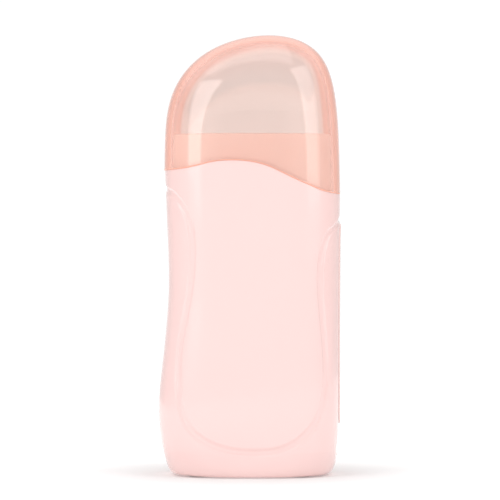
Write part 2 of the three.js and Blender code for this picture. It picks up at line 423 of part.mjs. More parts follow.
// ---------------------------------------------------------------- internal wires
add('wire_live_in', wire([[-10.3, 4.15, 12.5], [-10.3, 1, 12.2], [-7, -3, 9.2], [0, -4.5, 7.6], [7, -2.5, 8], [11, 1.5, 9.0], [11, 5.15, 9.0]], 0.8, 10), 0x7a4a2c, 0.5);
add('wire_live_switched', wire([[11, 5.1, 16.0], [11, 2.6, 16.6], [11.6, 2.6, 19.2], [12, 6, 20.6], [12.5, 11, 20.8], [13, 16.4, 20.9], [13.3, 18.4, 22.8], [13.6, 18.7, 25],
  [14.5, 18.8, 29], [17.8, 18.8, 32.4], [19.3, 18.4, 35.2], [17.0, 18.2, 36.5]], 0.8, 14), 0x7a4a2c, 0.5);
add('wire_fuse_link', wire([[5.75, 18.2, 36.5], [4, 18.1, 36.5], [2.25, 18.0, 36.5]], 0.55, 3), 0xc9cacb, 0.4);
add('wire_live_heater', wire([[-13.3, 17.9, 36.5], [-15.3, 17.9, 37.2], [-15.4, 17.9, 40], [-12.5, 17.8, 41.6], [-9.2, 17.75, 43.2]], 0.75, 8), 0x7a4a2c, 0.5);
add('wire_neutral', wire([[-1.7, 4.15, 12.5], [-1.7, 1.8, 13.2], [-2.2, 1.2, 17], [-3, 4.5, 20.6], [-3.6, 11, 21.0], [-3.6, 16.6, 21.0], [-3.2, 18.5, 22.9], [-2, 18.8, 26],
  [1.6, 19.2, 29.5], [3.9, 20.1, 33], [4.2, 20.4, 36.5], [6.4, 20.5, 39.8], [9.4, 20.5, 42.2], [12.2, 20.45, 43.4]], 0.75, 15), 0x2f5fa8, 0.5);
add('wire_led_live', wire([[24.2, 6, 12], [21, 4.6, 12.2], [18, 4.2, 14], [15.5, 6.2, 15.6], [12.95, 7, 16]], 0.5, 7), 0xa03a32, 0.5);
add('wire_led_neutral', wire([[24.2, -5, 12], [18, -6.2, 12.2], [8, -5.4, 13.2], [3.4, -0.6, 12.8], [1.9, 4.2, 12.5], [-0.05, 5.8, 12.5]], 0.5, 9), 0x2b2b2d, 0.5);

export default group;
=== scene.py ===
import math

import bmesh
import bpy
import numpy as np
from mathutils import Matrix, Vector, kdtree


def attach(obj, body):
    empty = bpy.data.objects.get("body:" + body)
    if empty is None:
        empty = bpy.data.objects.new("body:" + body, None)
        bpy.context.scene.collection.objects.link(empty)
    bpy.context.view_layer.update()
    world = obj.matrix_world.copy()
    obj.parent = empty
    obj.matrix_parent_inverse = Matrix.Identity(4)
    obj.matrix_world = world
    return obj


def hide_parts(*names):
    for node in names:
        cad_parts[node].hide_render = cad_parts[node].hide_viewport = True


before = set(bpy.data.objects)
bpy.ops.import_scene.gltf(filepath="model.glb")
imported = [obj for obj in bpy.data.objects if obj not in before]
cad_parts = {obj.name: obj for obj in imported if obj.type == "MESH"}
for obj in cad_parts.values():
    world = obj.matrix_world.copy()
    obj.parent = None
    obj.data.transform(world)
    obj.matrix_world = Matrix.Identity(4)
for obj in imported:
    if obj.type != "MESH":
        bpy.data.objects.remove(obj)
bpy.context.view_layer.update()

MM = 0.001
HEIGHT = 175.5
CAP_WALL = 2.5

# ------------------------------------------------------------------ camera
cam_data = bpy.data.cameras.new("camera")
cam_data.lens = 198.0
cam_data.sensor_width = 36.0
cam_data.clip_start = 0.01
cam_data.clip_end = 30.0
cam = bpy.data.objects.new("camera", cam_data)
bpy.context.scene.collection.objects.link(cam)
cam.location = (0.00016, -1.1, 0.0896)
cam.rotation_euler = (math.radians(90), 0, 0)
bpy.context.scene.camera = cam
bpy.context.scene.view_settings.view_transform = "Standard"
bpy.context.scene.view_settings.look = "None"
# light runs along inside the clear wall for many turns before it leaves
bpy.context.scene.cycles.max_bounces = 32
bpy.context.scene.cycles.glossy_bounces = 24
bpy.context.scene.cycles.transmission_bounces = 24
bpy.context.scene.cycles.transparent_max_bounces = 24

# ------------------------------------------------------------------ outlines in mm, seen from the front: (z, x)
BODY_LEFT = [(0.6, -29.3), (1.14, -30.9), (1.8, -31.7), (3, -32.5), (5.4, -33.3), (7.8, -33.95), (10.2, -34.55),
             (15, -35.45), (19.8, -36.1), (24.6, -36.38), (27, -36.4), (30.6, -36.27), (34.2, -36), (39, -35.45),
             (43.8, -34.87), (48.6, -34.32), (53.4, -33.82), (58.2, -33.37), (63, -32.98), (66.6, -32.66),
             (70.2, -32.42), (75, -32.31), (79.8, -32.28), (84.6, -32.36), (89.4, -32.5), (97.8, -32.89),
             (106.2, -33.22), (114.6, -33.5), (120.6, -33.84), (125.4, -33.8), (131, -33.65), (137.4, -33.45)]
BODY_RIGHT = [(0.6, 31), (1.14, 32.2), (1.8, 32.95), (3, 33.67), (4.2, 34.1), (5.4, 34.4), (7.8, 34.7), (10.2, 34.85),
              (12.6, 35), (15, 35.25), (17.4, 35.45), (20, 35.56), (25, 35.66), (32, 35.68), (45, 35.64), (60, 35.64),
              (75, 35.74), (90, 35.85), (99, 35.98), (105, 36.12), (110, 36.2), (114, 36.19), (118, 36.1),
              (125.4, 35.85), (131, 35.65), (137.4, 35.3)]
BODY_DEPTH = [(0.6, 22.9), (1.0, 23.7), (1.8, 24.2), (3, 24.45), (8, 24.6), (15, 24.8), (28, 25), (45, 24.8), (60, 24.5),
              (80, 24.2), (100, 24.0), (120, 23.8), (137.4, 23.5)]
CAP_LEFT = [(108, -34.3), (115, -34.22), (121.8, -34.12), (125.4, -34.08), (129, -33.98), (132.6, -33.9), (137.4, -33.75),
            (139.8, -33.56), (142.2, -33.33), (144.6, -32.98), (147, -32.49), (149.4, -31.86), (151.8, -31.06),
            (154.2, -30.05), (156.6, -28.78), (159, -27.27), (161.4, -25.46), (163.8, -23.22), (166.2, -20.53),
            (168.6, -17.2), (171, -12.75), (173.4, -6.3), (175.5, 7.6)]
CAP_RIGHT = [(108, 36.22), (112.2, 36.2), (114.6, 36.2), (118.2, 36.15), (121.8, 36.08), (125.4, 35.97), (129, 35.87),
             (132.6, 35.78), (137.4, 35.55), (142.2, 35.24), (147, 34.78), (151.8, 34.14), (154.2, 33.7), (156.6, 33.16),
             (159, 32.5), (161.4, 31.66), (163.8, 30.57), (166.2, 29.14), (168.6, 27.2), (171, 24.35), (173.4, 19.9),
             (175.5, 7.6)]
WAVE = [(-40, 121.2), (-34, 121.4), (-28.7, 121.6), (-23.3, 122.3), (-18, 123.5), (-12.8, 124.6), (-6.5, 124.9),
        (0.3, 124.4), (5.6, 123.2), (13.4, 119.8), (18.7, 117.2), (24, 115), (29.3, 112.9), (35.4, 111.9), (40, 111.7)]
CHANNEL_LINE = [(-30.7, 112.1), (-27.3, 108.3), (-24.9, 104.2), (-23.4, 99.4), (-22.7, 94.6), (-22.5, 88.4), (-22.7, 81),
                (-23.6, 73.5), (-25, 65.2), (-26.6, 57.3), (-27.7, 49), (-28.1, 40.9), (-28.0, 34.6), (-27.5, 29),
                (-25.9, 23.5), (-23, 18.6), (-18.1, 14.7), (-11.7, 11.9), (-2, 10.1), (7.4, 10.2), (14.7, 12),
                (20.5, 15.5), (25.3, 20.9), (28.4, 27.6), (29.7, 34.5), (30, 41), (29.8, 48.5), (29.2, 56.7),
                (28.4, 65.8), (27.8, 74.3), (27.8, 81.7), (28.3, 87), (29.4, 92.1), (31.5, 96.6)]
CHANNEL_DEPTH, CHANNEL_FLOOR, CHANNEL_HALF = 0.5, 0.65, 1.85


# ------------------------------------------------------------------ curves
def pchip(table):
    x = np.array([p[0] for p in table], float)
    y = np.array([p[1] for p in table], float)
    h = np.diff(x)
    d = np.diff(y) / h
    m = np.zeros_like(x)
    m[0], m[-1] = d[0], d[-1]
    for i in range(1, len(x) - 1):
        if d[i - 1] * d[i] > 0:
            a, b = 2 * h[i] + h[i - 1], h[i] + 2 * h[i - 1]
            m[i] = (a + b) / (a / d[i - 1] + b / d[i])

    def f(v):
        v = np.asarray(v, float)
        i = np.clip(np.searchsorted(x, v) - 1, 0, len(x) - 2)
        t = (v - x[i]) / h[i]
        t2, t3 = t * t, t * t * t
        inside = ((2 * t3 - 3 * t2 + 1) * y[i] + (t3 - 2 * t2 + t) * h[i] * m[i]
                  + (3 * t2 - 2 * t3) * y[i + 1] + (t3 - t2) * h[i] * m[i + 1])
        return np.where(v < x[0], y[0] + m[0] * (v - x[0]), np.where(v > x[-1], y[-1] + m[-1] * (v - x[-1]), inside))

    return f


def smoothed(f, lo, hi, sigma, count=1400, margin=12.0):
    """f with small ripples taken out by a Gaussian whose width is sigma(x)"""
    xs = np.linspace(lo, hi, count)
    wide = np.linspace(lo - margin, hi + margin, int(count * (hi - lo + 2 * margin) / (hi - lo)))
    low, high = wide < lo, wide > hi
    ys = f(np.clip(wide, lo, hi))
    ys[low] = 2 * f(lo) - f(np.minimum(2 * lo - wide[low], hi))
    ys[high] = 2 * f(hi) - f(np.maximum(2 * hi - wide[high], lo))
    out = np.empty_like(xs)
    for i, x in enumerate(xs):
        w = np.exp(-0.5 * ((wide - x) / sigma(x)) ** 2)
        out[i] = (w * ys).sum() / w.sum()
    return lambda v: np.interp(v, xs, out)


def side_sigma(z):
    return min(3.0, max(0.06, 0.13 * (z - 0.6)))


body_left = smoothed(pchip(BODY_LEFT), 0.6, 137.4, side_sigma)
body_right = smoothed(pchip(BODY_RIGHT), 0.6, 137.4, side_sigma)
body_depth = smoothed(pchip(BODY_DEPTH), 0.6, 137.4, side_sigma)
wave = smoothed(pchip(WAVE), -40, 40, lambda x: 1.2)


def squareness(z):
    z = np.asarray(z, float)
    return np.where(z < 10, 2.5 + 0.3 * np.clip(z - 0.6, 0, None) / 9.4, 2.8)


# both outlines of the cap as one curve over s = -+sqrt(top - z), so that the peak is round
_both = sorted([(-math.sqrt(HEIGHT - z), x) for z, x in CAP_LEFT] + [(math.sqrt(HEIGHT - z), x) for z, x in CAP_RIGHT if z < HEIGHT])
cap_side = smoothed(pchip(_both), -8.2, 8.2, lambda s: 0.26, count=1600, margin=1.5)


def _depth_raw(s):
    s = np.asarray(s, float)
    z = HEIGHT - s * s
    z0 = 134.0
    low = body_depth(np.minimum(z, z0)) + 0.25
    u = np.clip((z - z0) / (HEIGHT - z0), 0, 1)
    return np.sign(s) * np.where(z <= z0, low, (body_depth(z0) + 0.25) * np.sqrt(np.clip(1 - u ** 2.7, 0, None)))


cap_depth = smoothed(_depth_raw, -8.2, 8.2, lambda s: 0.2, count=1600, margin=1.5)


def cap_square(s):
    return 2 + 0.8 * (1 - np.exp(-((s / 3.5) ** 2)))


def super_point(t, n):
    c, q = np.cos(t), np.sin(t)
    e = 2.0 / n
    return np.sign(c) * np.abs(c) ** e, np.sign(q) * np.abs(q) ** e


def super_normal(x, y, cx, a, b, n):
    u, v = (x - cx) / a, y / b
    nx = np.sign(u) * np.abs(u) ** (n - 1) / a
    ny = np.sign(v) * np.abs(v) ** (n - 1) / b
    k = np.hypot(nx, ny)
    return nx / k, ny / k


def body_point(t, z, inset=0.0):
    xl, xr, b, n = body_left(z) + inset, body_right(z) - inset, body_depth(z) - inset, squareness(z)
    cx, a = (xl + xr) / 2, (xr - xl) / 2
    px, py = super_point(t, n)
    x, y = cx + a * px, b * py
    nx, ny = super_normal(x, y, cx, a, b, n)
    return x, y, nx, ny


def body_front_y(x, z):
    xl, xr, b, n = body_left(z), body_right(z), body_depth(z), squareness(z)
    cx, a = (xl + xr) / 2, (xr - xl) / 2
    return -b * (1 - np.clip(np.abs((x - cx) / a), 0, 1) ** n) ** (1 / n)


def body_side_x(y, z, side, inset=0.0):
    xl, xr, b, n = body_left(z) + inset, body_right(z) - inset, body_depth(z) - inset, squareness(z)
    cx, a = (xl + xr) / 2, (xr - xl) / 2
    return cx + side * a * (1 - np.clip(np.abs(y / b), 0, 1) ** n) ** (1 / n)


# ------------------------------------------------------------------ mesh helpers
def make(name, verts, faces, sharp=35.0, smooth=True, clean=True):
    mesh = bpy.data.meshes.new(name)
    mesh.from_pydata([tuple(v) for v in (np.asarray(verts, float) * MM)], [], [tuple(int(k) for k in f) for f in faces])
    bm = bmesh.new()
    bm.from_mesh(mesh)
    if clean:
        bmesh.ops.remove_doubles(bm, verts=bm.verts, dist=2e-6)
        bmesh.ops.dissolve_degenerate(bm, edges=bm.edges, dist=1e-7)
    bmesh.ops.recalc_face_normals(bm, faces=bm.faces)
    bm.to_mesh(mesh)
    bm.free()
    obj = bpy.data.objects.new(name, mesh)
    bpy.context.scene.collection.objects.link(obj)
    if smooth:
        finish_shading(obj, sharp)
    return obj


def finish_shading(obj, sharp=35.0):
    obj.data.polygons.foreach_set("use_smooth", [True] * len(obj.data.polygons))
    obj.data.set_sharp_from_angle(angle=math.radians(sharp))
    obj.data.update()


def boolean(obj, cutters, operation="DIFFERENCE", solver="MANIFOLD"):
    for cutter in cutters:
        for how in (solver, "EXACT"):
            mod = obj.modifiers.new("cut", "BOOLEAN")
            mod.operation = operation
            mod.object = cutter
            mod.solver = how
            dg = bpy.context.evaluated_depsgraph_get()
            new = bpy.data.meshes.new_from_object(obj.evaluated_get(dg))
            obj.modifiers.remove(mod)
            if len(new.polygons) > 20 and len(new.polygons) != len(obj.data.polygons):
                break
            bpy.data.meshes.remove(new)
            new = None
        if new is not None:
            old = obj.data
            obj.data = new
            bpy.data.meshes.remove(old)
    for cutter in cutters:
        drop(cutter)
    return obj


def drop(obj):
    mesh = obj.data
    bpy.data.objects.remove(obj)
    bpy.data.meshes.remove(mesh)


def rings_mesh(name, rings, start="fan", end="fan", loop=False, sharp=35.0):
    """a closed skin over rings that all hold the same number of points"""
    count = len(rings[0])
    verts = np.concatenate(rings)
    faces = []
    rows = len(rings)
    pairs = [(r, r + 1) for r in range(rows - 1)] + ([(rows - 1, 0)] if loop else [])
    for r0, r1 in pairs:
        for i in range(count):
            j = (i + 1) % count
            faces.append((r0 * count + i, r0 * count + j, r1 * count + j, r1 * count + i))
    extra = []
    if not loop:
        for which, row, flip in ((start, 0, True), (end, rows - 1, False)):
            if which == "ladder":  # a narrow ring is closed rung by rung
                for i in range(count // 2 - 1):
                    rung = [row * count + k for k in (i, i + 1, count - 2 - i, count - 1 - i)]
                    faces.append(tuple(rung[::-1] if flip else rung))
                continue
            centre = rings[row].mean(0)
            extra.append(centre)
            c = len(verts) + len(extra) - 1
            for i in range(count):
                j = (i + 1) % count
                a, b = row * count + i, row * count + j
                faces.append((c, b, a) if flip else (c, a, b))
    if extra:
        verts = np.concatenate([verts, np.array(extra)])
    return make(name, verts, faces, sharp)


def place(outline, plane, depth):
    """2-D outline to 3-D: plane 'z' = (x, y) at z, 'y' = (x, z) at y, 'x' = (y, z) at x"""
    o = np.asarray(outline, float)
    d = np.full(len(o), float(depth))
    if plane == "z":
        return np.stack([o[:, 0], o[:, 1], d], 1)
    if plane == "y":
        return np.stack([o[:, 0], d, o[:, 1]], 1)
    return np.stack([d, o[:, 0], o[:, 1]], 1)


def dense_rr(w, h, r, n=90):
    pts = []
    for q, (u, v) in enumerate(((w / 2 - r, h / 2 - r), (-w / 2 + r, h / 2 - r), (-w / 2 + r, -h / 2 + r), (w / 2 - r, -h / 2 + r))):
        t = (q + np.linspace(0, 1, n)) * math.pi / 2
        pts.append(np.stack([u + r * np.cos(t), v + r * np.sin(t)], 1))
    return np.concatenate(pts)


def rr(w, h, r, count=96, centre=(0, 0)):
    """rounded rectangle with points spaced evenly along it, starting on +u"""
    p = dense_rr(w, h, max(r, 1e-3))
    p = np.concatenate([p, p[:1]])
    s = np.concatenate([[0], np.cumsum(np.hypot(*np.diff(p, axis=0).T))])
    ang = np.arctan2(p[:, 1], p[:, 0])
    k = int(np.argmin(np.abs(ang)))
    q = (s[k] + s[-1] * np.arange(count) / count) % s[-1]
    return np.stack([np.interp(q, s, p[:, 0]) + centre[0], np.interp(q, s, p[:, 1]) + centre[1]], 1)


def rr_at(phi, w, h, r, centre=(0, 0)):
    """rounded rectangle, one point for each polar angle"""
    p = rr(w, h, r, 4000)
    ang = np.unwrap(np.arctan2(p[:, 1], p[:, 0]))
    rad = np.hypot(p[:, 0], p[:, 1])
    a = np.concatenate([ang - 2 * math.pi, ang, ang + 2 * math.pi])
    rr3 = np.concatenate([rad, rad, rad])
    order = np.argsort(a)
    rho = np.interp(phi, a[order], rr3[order])
    return np.stack([rho * np.cos(phi) + centre[0], rho * np.sin(phi) + centre[1]], 1)


def prism(name, outline, plane, lo, hi):
    return rings_mesh(name, [place(outline, plane, lo), place(outline, plane, hi)])


def circle(r, count=48, centre=(0, 0)):
    t = 2 * math.pi * np.arange(count) / count
    return np.stack([centre[0] + r * np.cos(t), centre[1] + r * np.sin(t)], 1)


def turned(name, profile, plane, centre, count=64, sharp=35.0):
    """turned solid: profile is (radius, depth) from one end to the other"""
    rings = [place(circle(max(r, 1e-4), count, centre), plane, d) for r, d in profile]
    return rings_mesh(name, rings, sharp=sharp)


def box_mesh(name, lo, hi, bevel=0.0, segments=2):
    bm = bmesh.new()
    bmesh.ops.create_cube(bm, size=1.0)
    lo, hi = np.array(lo, float), np.array(hi, float)
    for v in bm.verts:
        v.co = Vector(((lo + hi) / 2 + np.array(v.co) * (hi - lo)) * MM)
    if bevel:
        bmesh.ops.bevel(bm, geom=list(bm.edges), offset=bevel * MM, segments=segments, profile=0.5, affect="EDGES")
    mesh = bpy.data.meshes.new(name)
    bm.to_mesh(mesh)
    bm.free()
    obj = bpy.data.objects.new(name, mesh)
    bpy.context.scene.collection.objects.link(obj)
    finish_shading(obj, 40)
    return obj


# ------------------------------------------------------------------ materials
def linear(c):
    return tuple((x / 12.92 if x <= 0.04045 else ((x + 0.055) / 1.055) ** 2.4) for x in (v / 255 for v in c))


class Mat:
    def __init__(self, name, rgb, rough=0.4, metallic=0.0, spread=0.03, scale=60.0, bump=0.0, bump_scale=900.0,
                 rough_spread=0.06, stretch=(1, 1, 1), **sockets):
        self.mat = m = bpy.data.materials.new(name)
        m.use_nodes = True
        nt = m.node_tree
        self.nt = nt
        nt.nodes.clear()
        self.out = nt.nodes.new("ShaderNodeOutputMaterial")
        self.bsdf = b = nt.nodes.new("ShaderNodeBsdfPrincipled")
        nt.links.new(b.outputs[0], self.out.inputs["Surface"])
        coord = nt.nodes.new("ShaderNodeTexCoord")
        mapping = nt.nodes.new("ShaderNodeMapping")
        mapping.inputs["Scale"].default_value = stretch
        nt.links.new(coord.outputs["Object"], mapping.inputs["Vector"])
        self.vec = mapping.outputs["Vector"]
        noise = nt.nodes.new("ShaderNodeTexNoise")
        noise.inputs["Scale"].default_value = scale
        noise.inputs["Detail"].default_value = 4.0
        nt.links.new(self.vec, noise.inputs["Vector"])
        self.noise = noise
        ramp = nt.nodes.new("ShaderNodeMix")
        ramp.data_type = "RGBA"
        base = np.array(linear(rgb))
        ramp.inputs["A"].default_value = (*np.clip(base * (1 - spread), 0, 1), 1)
        ramp.inputs["B"].default_value = (*np.clip(base * (1 + spread), 0, 1), 1)
        nt.links.new(noise.outputs["Fac"], ramp.inputs["Factor"])
        self.colour = ramp.outputs["Result"]
        nt.links.new(self.colour, b.inputs["Base Color"])
        b.inputs["Metallic"].default_value = metallic
        if rough_spread:
            rn = nt.nodes.new("ShaderNodeTexNoise")
            rn.inputs["Scale"].default_value = scale * 2.7
            rn.inputs["Detail"].default_value = 3.0
            nt.links.new(self.vec, rn.inputs["Vector"])
            mr = nt.nodes.new("ShaderNodeMapRange")
            mr.inputs["To Min"].default_value = max(0.0, rough - rough_spread)
            mr.inputs["To Max"].default_value = min(1.0, rough + rough_spread)
            nt.links.new(rn.outputs["Fac"], mr.inputs["Value"])
            nt.links.new(mr.outputs["Result"], b.inputs["Roughness"])
        else:
            b.inputs["Roughness"].default_value = rough
        if bump:
            bn = nt.nodes.new("ShaderNodeTexNoise")
            bn.inputs["Scale"].default_value = bump_scale
            bn.inputs["Detail"].default_value = 3.0
            nt.links.new(self.vec, bn.inputs["Vector"])
            bp = nt.nodes.new("ShaderNodeBump")
            bp.inputs["Strength"].default_value = bump
            bp.inputs["Distance"].default_value = 0.0001
            nt.links.new(bn.outputs["Fac"], bp.inputs["Height"])
            nt.links.new(bp.outputs["Normal"], b.inputs["Normal"])
        for key, value in sockets.items():
            b.inputs[key.replace("_", " ")].default_value = value


def wear(obj, material, body, slot, *nodes):
    obj.data.materials.clear()
    obj.data.materials.append(material.mat)
    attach(obj, body)
    if nodes:
        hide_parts(*nodes)
    return obj


pink = Mat("pink_abs", (252, 217, 213), rough=0.18, spread=0.008, scale=35, bump=0.03, bump_scale=1400, rough_spread=0.03,
           IOR=1.53, Coat_Weight=0.45, Coat_Roughness=0.04)
# painted light: the collar is painted paler than the body's pink, to make up for the light the clear cap holds back
# from it
collar_painted_pale = Mat("collar_abs_painted_pale", (255, 237, 229), rough=0.32, spread=0.01, scale=40, bump=0.04, bump_scale=1600, rough_spread=0.05, IOR=1.5)
rubber = Mat("foot_rubber", (206, 198, 195), rough=0.75, spread=0.05, scale=300, bump=0.25, bump_scale=2500)
steel = Mat("screw_steel", (176, 178, 182), rough=0.32, metallic=1.0, spread=0.06, scale=500, rough_spread=0.1)
brass = Mat("pin_brass", (214, 196, 150), rough=0.24, metallic=1.0, spread=0.05, scale=400, rough_spread=0.08)
nickel = Mat("strip_nickel", (196, 196, 198), rough=0.3, metallic=1.0, spread=0.05, scale=250, rough_spread=0.08, stretch=(1, 1, 0.1))
alu = Mat("drawn_aluminium", (208, 210, 213), rough=0.3, metallic=1.0, spread=0.05, scale=160, rough_spread=0.08, bump=0.12,
          bump_scale=500, stretch=(1, 1, 0.06))
inlet_mat = Mat("inlet_plastic", (246, 222, 217), rough=0.42, spread=0.015, scale=90, bump=0.2, bump_scale=3200)
bezel_mat = Mat("bezel_plastic", (248, 226, 221), rough=0.3, spread=0.012, scale=90, bump=0.12, bump_scale=3200)
rocker_mat = Mat("rocker_plastic", (247, 204, 196), rough=0.24, spread=0.012, scale=90, bump=0.08, bump_scale=3200)
mark_mat = Mat("mark_paint", (150, 120, 116), rough=0.5, spread=0.04, scale=600)
holder_mat = Mat("holder_plastic", (238, 233, 226), rough=0.5, spread=0.02, scale=120, bump=0.2, bump_scale=2500)
ceramic = Mat("ptc_ceramic", (98, 97, 100), rough=0.8, spread=0.12, scale=700, bump=0.4, bump_scale=3000)
film = Mat("amber_film", (204, 138, 50), rough=0.3, spread=0.08, scale=120, bump=0.2, bump_scale=500)
black = Mat("black_case", (44, 44, 47), rough=0.45, spread=0.1, scale=400, bump=0.2, bump_scale=3000)
fuse_mat = Mat("fuse_sleeve", (214, 208, 190), rough=0.55, spread=0.05, scale=300, bump=0.2, bump_scale=2500)
board_mat = Mat("board_laminate", (52, 104, 68), rough=0.5, spread=0.12, scale=500, bump=0.15, bump_scale=2500)
resistor_mat = Mat("resistor_lacquer", (214, 196, 152), rough=0.4, spread=0.06, scale=600)
brown_wire = Mat("brown_wire", (124, 76, 48), rough=0.4, spread=0.06, scale=300, bump=0.1)
blue_wire = Mat("blue_wire", (52, 98, 168), rough=0.4, spread=0.06, scale=300, bump=0.1)
red_wire = Mat("red_wire", (160, 60, 52), rough=0.4, spread=0.06, scale=300, bump=0.1)
black_wire = Mat("black_wire", (44, 44, 47), rough=0.4, spread=0.1, scale=300, bump=0.1)

# see-through plastics: the tint is taken up over the path inside the wall
clear_peach = Mat("clear_peach", (255, 246, 242), rough=0.03, spread=0.004, scale=30, rough_spread=0.012,
                  IOR=1.57, Transmission_Weight=0.96, Coat_Weight=0.4, Coat_Roughness=0.03)
_facing = clear_peach.nt.nodes.new("ShaderNodeLayerWeight")
_facing.inputs["Blend"].default_value = 0.5
_turn = clear_peach.nt.nodes.new("ShaderNodeMapRange")
_turn.interpolation_type = "SMOOTHSTEP"
_turn.inputs["From Min"].default_value = 0.34
_turn.inputs["From Max"].default_value = 0.52
_turn.inputs["To Max"].default_value = 0.9
clear_peach.nt.links.new(_facing.outputs["Facing"], _turn.inputs["Value"])
_early = clear_peach.nt.nodes.new("ShaderNodeMapRange")
_early.interpolation_type = "SMOOTHSTEP"
for key, v in (("From Min", 0.02), ("From Max", 0.16), ("To Min", 0.0), ("To Max", 0.1)):
    _early.inputs[key].default_value = v
clear_peach.nt.links.new(_facing.outputs["Facing"], _early.inputs["Value"])
_tint = clear_peach.nt.nodes.new("ShaderNodeMath")
clear_peach.nt.links.new(_turn.outputs["Result"], _tint.inputs[0])
clear_peach.nt.links.new(_early.outputs["Result"], _tint.inputs[1])
_edge = clear_peach.nt.nodes.new("ShaderNodeMix")
_edge.data_type = "RGBA"
_edge.inputs["B"].default_value = (*linear((248, 184, 166)), 1)
clear_peach.nt.links.new(_tint.outputs[0], _edge.inputs["Factor"])
clear_peach.nt.links.new(clear_peach.colour, _edge.inputs["A"])
_lip = clear_peach.nt.nodes.new("ShaderNodeAttribute")
_lip.attribute_name = "lip"
_rim = clear_peach.nt.nodes.new("ShaderNodeMix")
_rim.data_type = "RGBA"
_rim.inputs["B"].default_value = (*linear((255, 214, 194)), 1)
clear_peach.nt.links.new(_lip.outputs["Fac"], _rim.inputs["Factor"])
clear_peach.nt.links.new(_edge.outputs["Result"], _rim.inputs["A"])
clear_peach.nt.links.new(_rim.outputs["Result"], clear_peach.bsdf.inputs["Base Color"])
_haze = clear_peach.nt.nodes.new("ShaderNodeMapRange")
_haze.interpolation_type = "SMOOTHSTEP"
for key, v in (("From Min", 0.35), ("From Max", 0.55), ("To Min", 0.0), ("To Max", 0.06)):
    _haze.inputs[key].default_value = v
clear_peach.nt.links.new(_facing.outputs["Facing"], _haze.inputs["Value"])
_rough = clear_peach.nt.nodes.new("ShaderNodeMath")
clear_peach.nt.links.new(clear_peach.bsdf.inputs["Roughness"].links[0].from_socket, _rough.inputs[0])
clear_peach.nt.links.new(_haze.outputs["Result"], _rough.inputs[1])
clear_peach.nt.links.new(_rough.outputs[0], clear_peach.bsdf.inputs["Roughness"])
# seen edge-on the wall is too deep to look through
_shut = clear_peach.nt.nodes.new("ShaderNodeMapRange")
_shut.interpolation_type = "SMOOTHSTEP"
for key, v in (("From Min", 0.36), ("From Max", 0.62), ("To Min", 0.96), ("To Max", 0.08)):
    _shut.inputs[key].default_value = v
_skin = clear_peach.nt.nodes.new("ShaderNodeAttribute")
_skin.attribute_name = "skin"
_deep = clear_peach.nt.nodes.new("ShaderNodeMath")
_deep.operation = "MULTIPLY"
clear_peach.nt.links.new(_facing.outputs["Facing"], _deep.inputs[0])
clear_peach.nt.links.new(_skin.outputs["Fac"], _deep.inputs[1])
clear_peach.nt.links.new(_deep.outputs[0], _shut.inputs["Value"])
clear_peach.nt.links.new(_shut.outputs["Result"], clear_peach.bsdf.inputs["Transmission Weight"])
_vol = clear_peach.nt.nodes.new("ShaderNodeVolumeAbsorption")
_vol.inputs["Color"].default_value = (0.99, 0.4, 0.24, 1)
_vol.inputs["Density"].default_value = 30.0
clear_peach.nt.links.new(_vol.outputs[0], clear_peach.out.inputs["Volume"])


def lets_lamps_through(m, tint):
    """lamps light what stands behind the clear wall"""
    clear = m.nt.nodes.new("ShaderNodeBsdfTransparent")
    clear.inputs["Color"].default_value = (*tint, 1)
    path = m.nt.nodes.new("ShaderNodeLightPath")
    mix = m.nt.nodes.new("ShaderNodeMixShader")
    m.nt.links.new(path.outputs["Is Shadow Ray"], mix.inputs[0])
    m.nt.links.new(m.bsdf.outputs[0], mix.inputs[1])
    m.nt.links.new(clear.outputs[0], mix.inputs[2])
    m.nt.links.new(mix.outputs[0], m.out.inputs["Surface"])


lets_lamps_through(clear_peach, (1.0, 0.985, 0.975))
cap_lip = Mat("cap_lip", (255, 190, 166), rough=0.4, spread=0.01, scale=120, bump=0.02, bump_scale=900, rough_spread=0.04, IOR=1.53)
clear_window = Mat("clear_window", (255, 240, 235), rough=0.12, spread=0.006, scale=40, bump=0.02, bump_scale=300, rough_spread=0.02,
                   IOR=1.5, Transmission_Weight=0.5)
lets_lamps_through(clear_window, (0.95, 0.93, 0.92))
window_bead = Mat("window_bead", (246, 216, 211), rough=0.35, spread=0.008, scale=120, bump=0.02, bump_scale=900, rough_spread=0.03, IOR=1.5)
lamp_mat = Mat("lamp_lens", (255, 178, 150), rough=0.1, spread=0.03, scale=300, IOR=1.49, Transmission_Weight=0.5)
led_mat = Mat("led_epoxy", (226, 96, 62), rough=0.1, spread=0.03, scale=300, IOR=1.5, Transmission_Weight=0.4)

# ------------------------------------------------------------------ body shells
def front_columns():
    """parameters round the front half, dense where the channel runs"""
    t = np.linspace(math.pi, 2 * math.pi, 6001)
    px, py = super_point(t, 2.8)
    x, y = 34.9 * px, 24.2 * py
    s = np.concatenate([[0], np.cumsum(np.hypot(np.diff(x), np.diff(y)))])
    xm = np.abs(x)
    want = np.where(xm > 17.5, 0.31, np.where(xm < 14, 1.0, 0.31 + (17.5 - xm) / 3.5 * 0.69))
    want = np.where(np.abs(y) < 2, 0.6, want)
    c = np.concatenate([[0], np.cumsum(np.diff(s) / ((want[1:] + want[:-1]) / 2))])
    n = int(round(c[-1] / 4)) * 4
    mid = np.interp(np.linspace(0, c[-1], n + 1), c, s)
    edge = np.array([0.04, 0.1, 0.2])
    all_s = np.concatenate([[0], edge, mid[1:-1], s[-1] - edge[::-1], [s[-1]]])
    extra = (-(len(all_s) - 1)) % 4
    if extra:
        gap = len(all_s) // 2
        fill = [all_s[gap] + (all_s[gap + 1] - all_s[gap]) * (k + 1) / (extra + 1) for k in range(extra)]
        all_s = np.sort(np.concatenate([all_s, fill]))
    return np.interp(all_s, s, t)


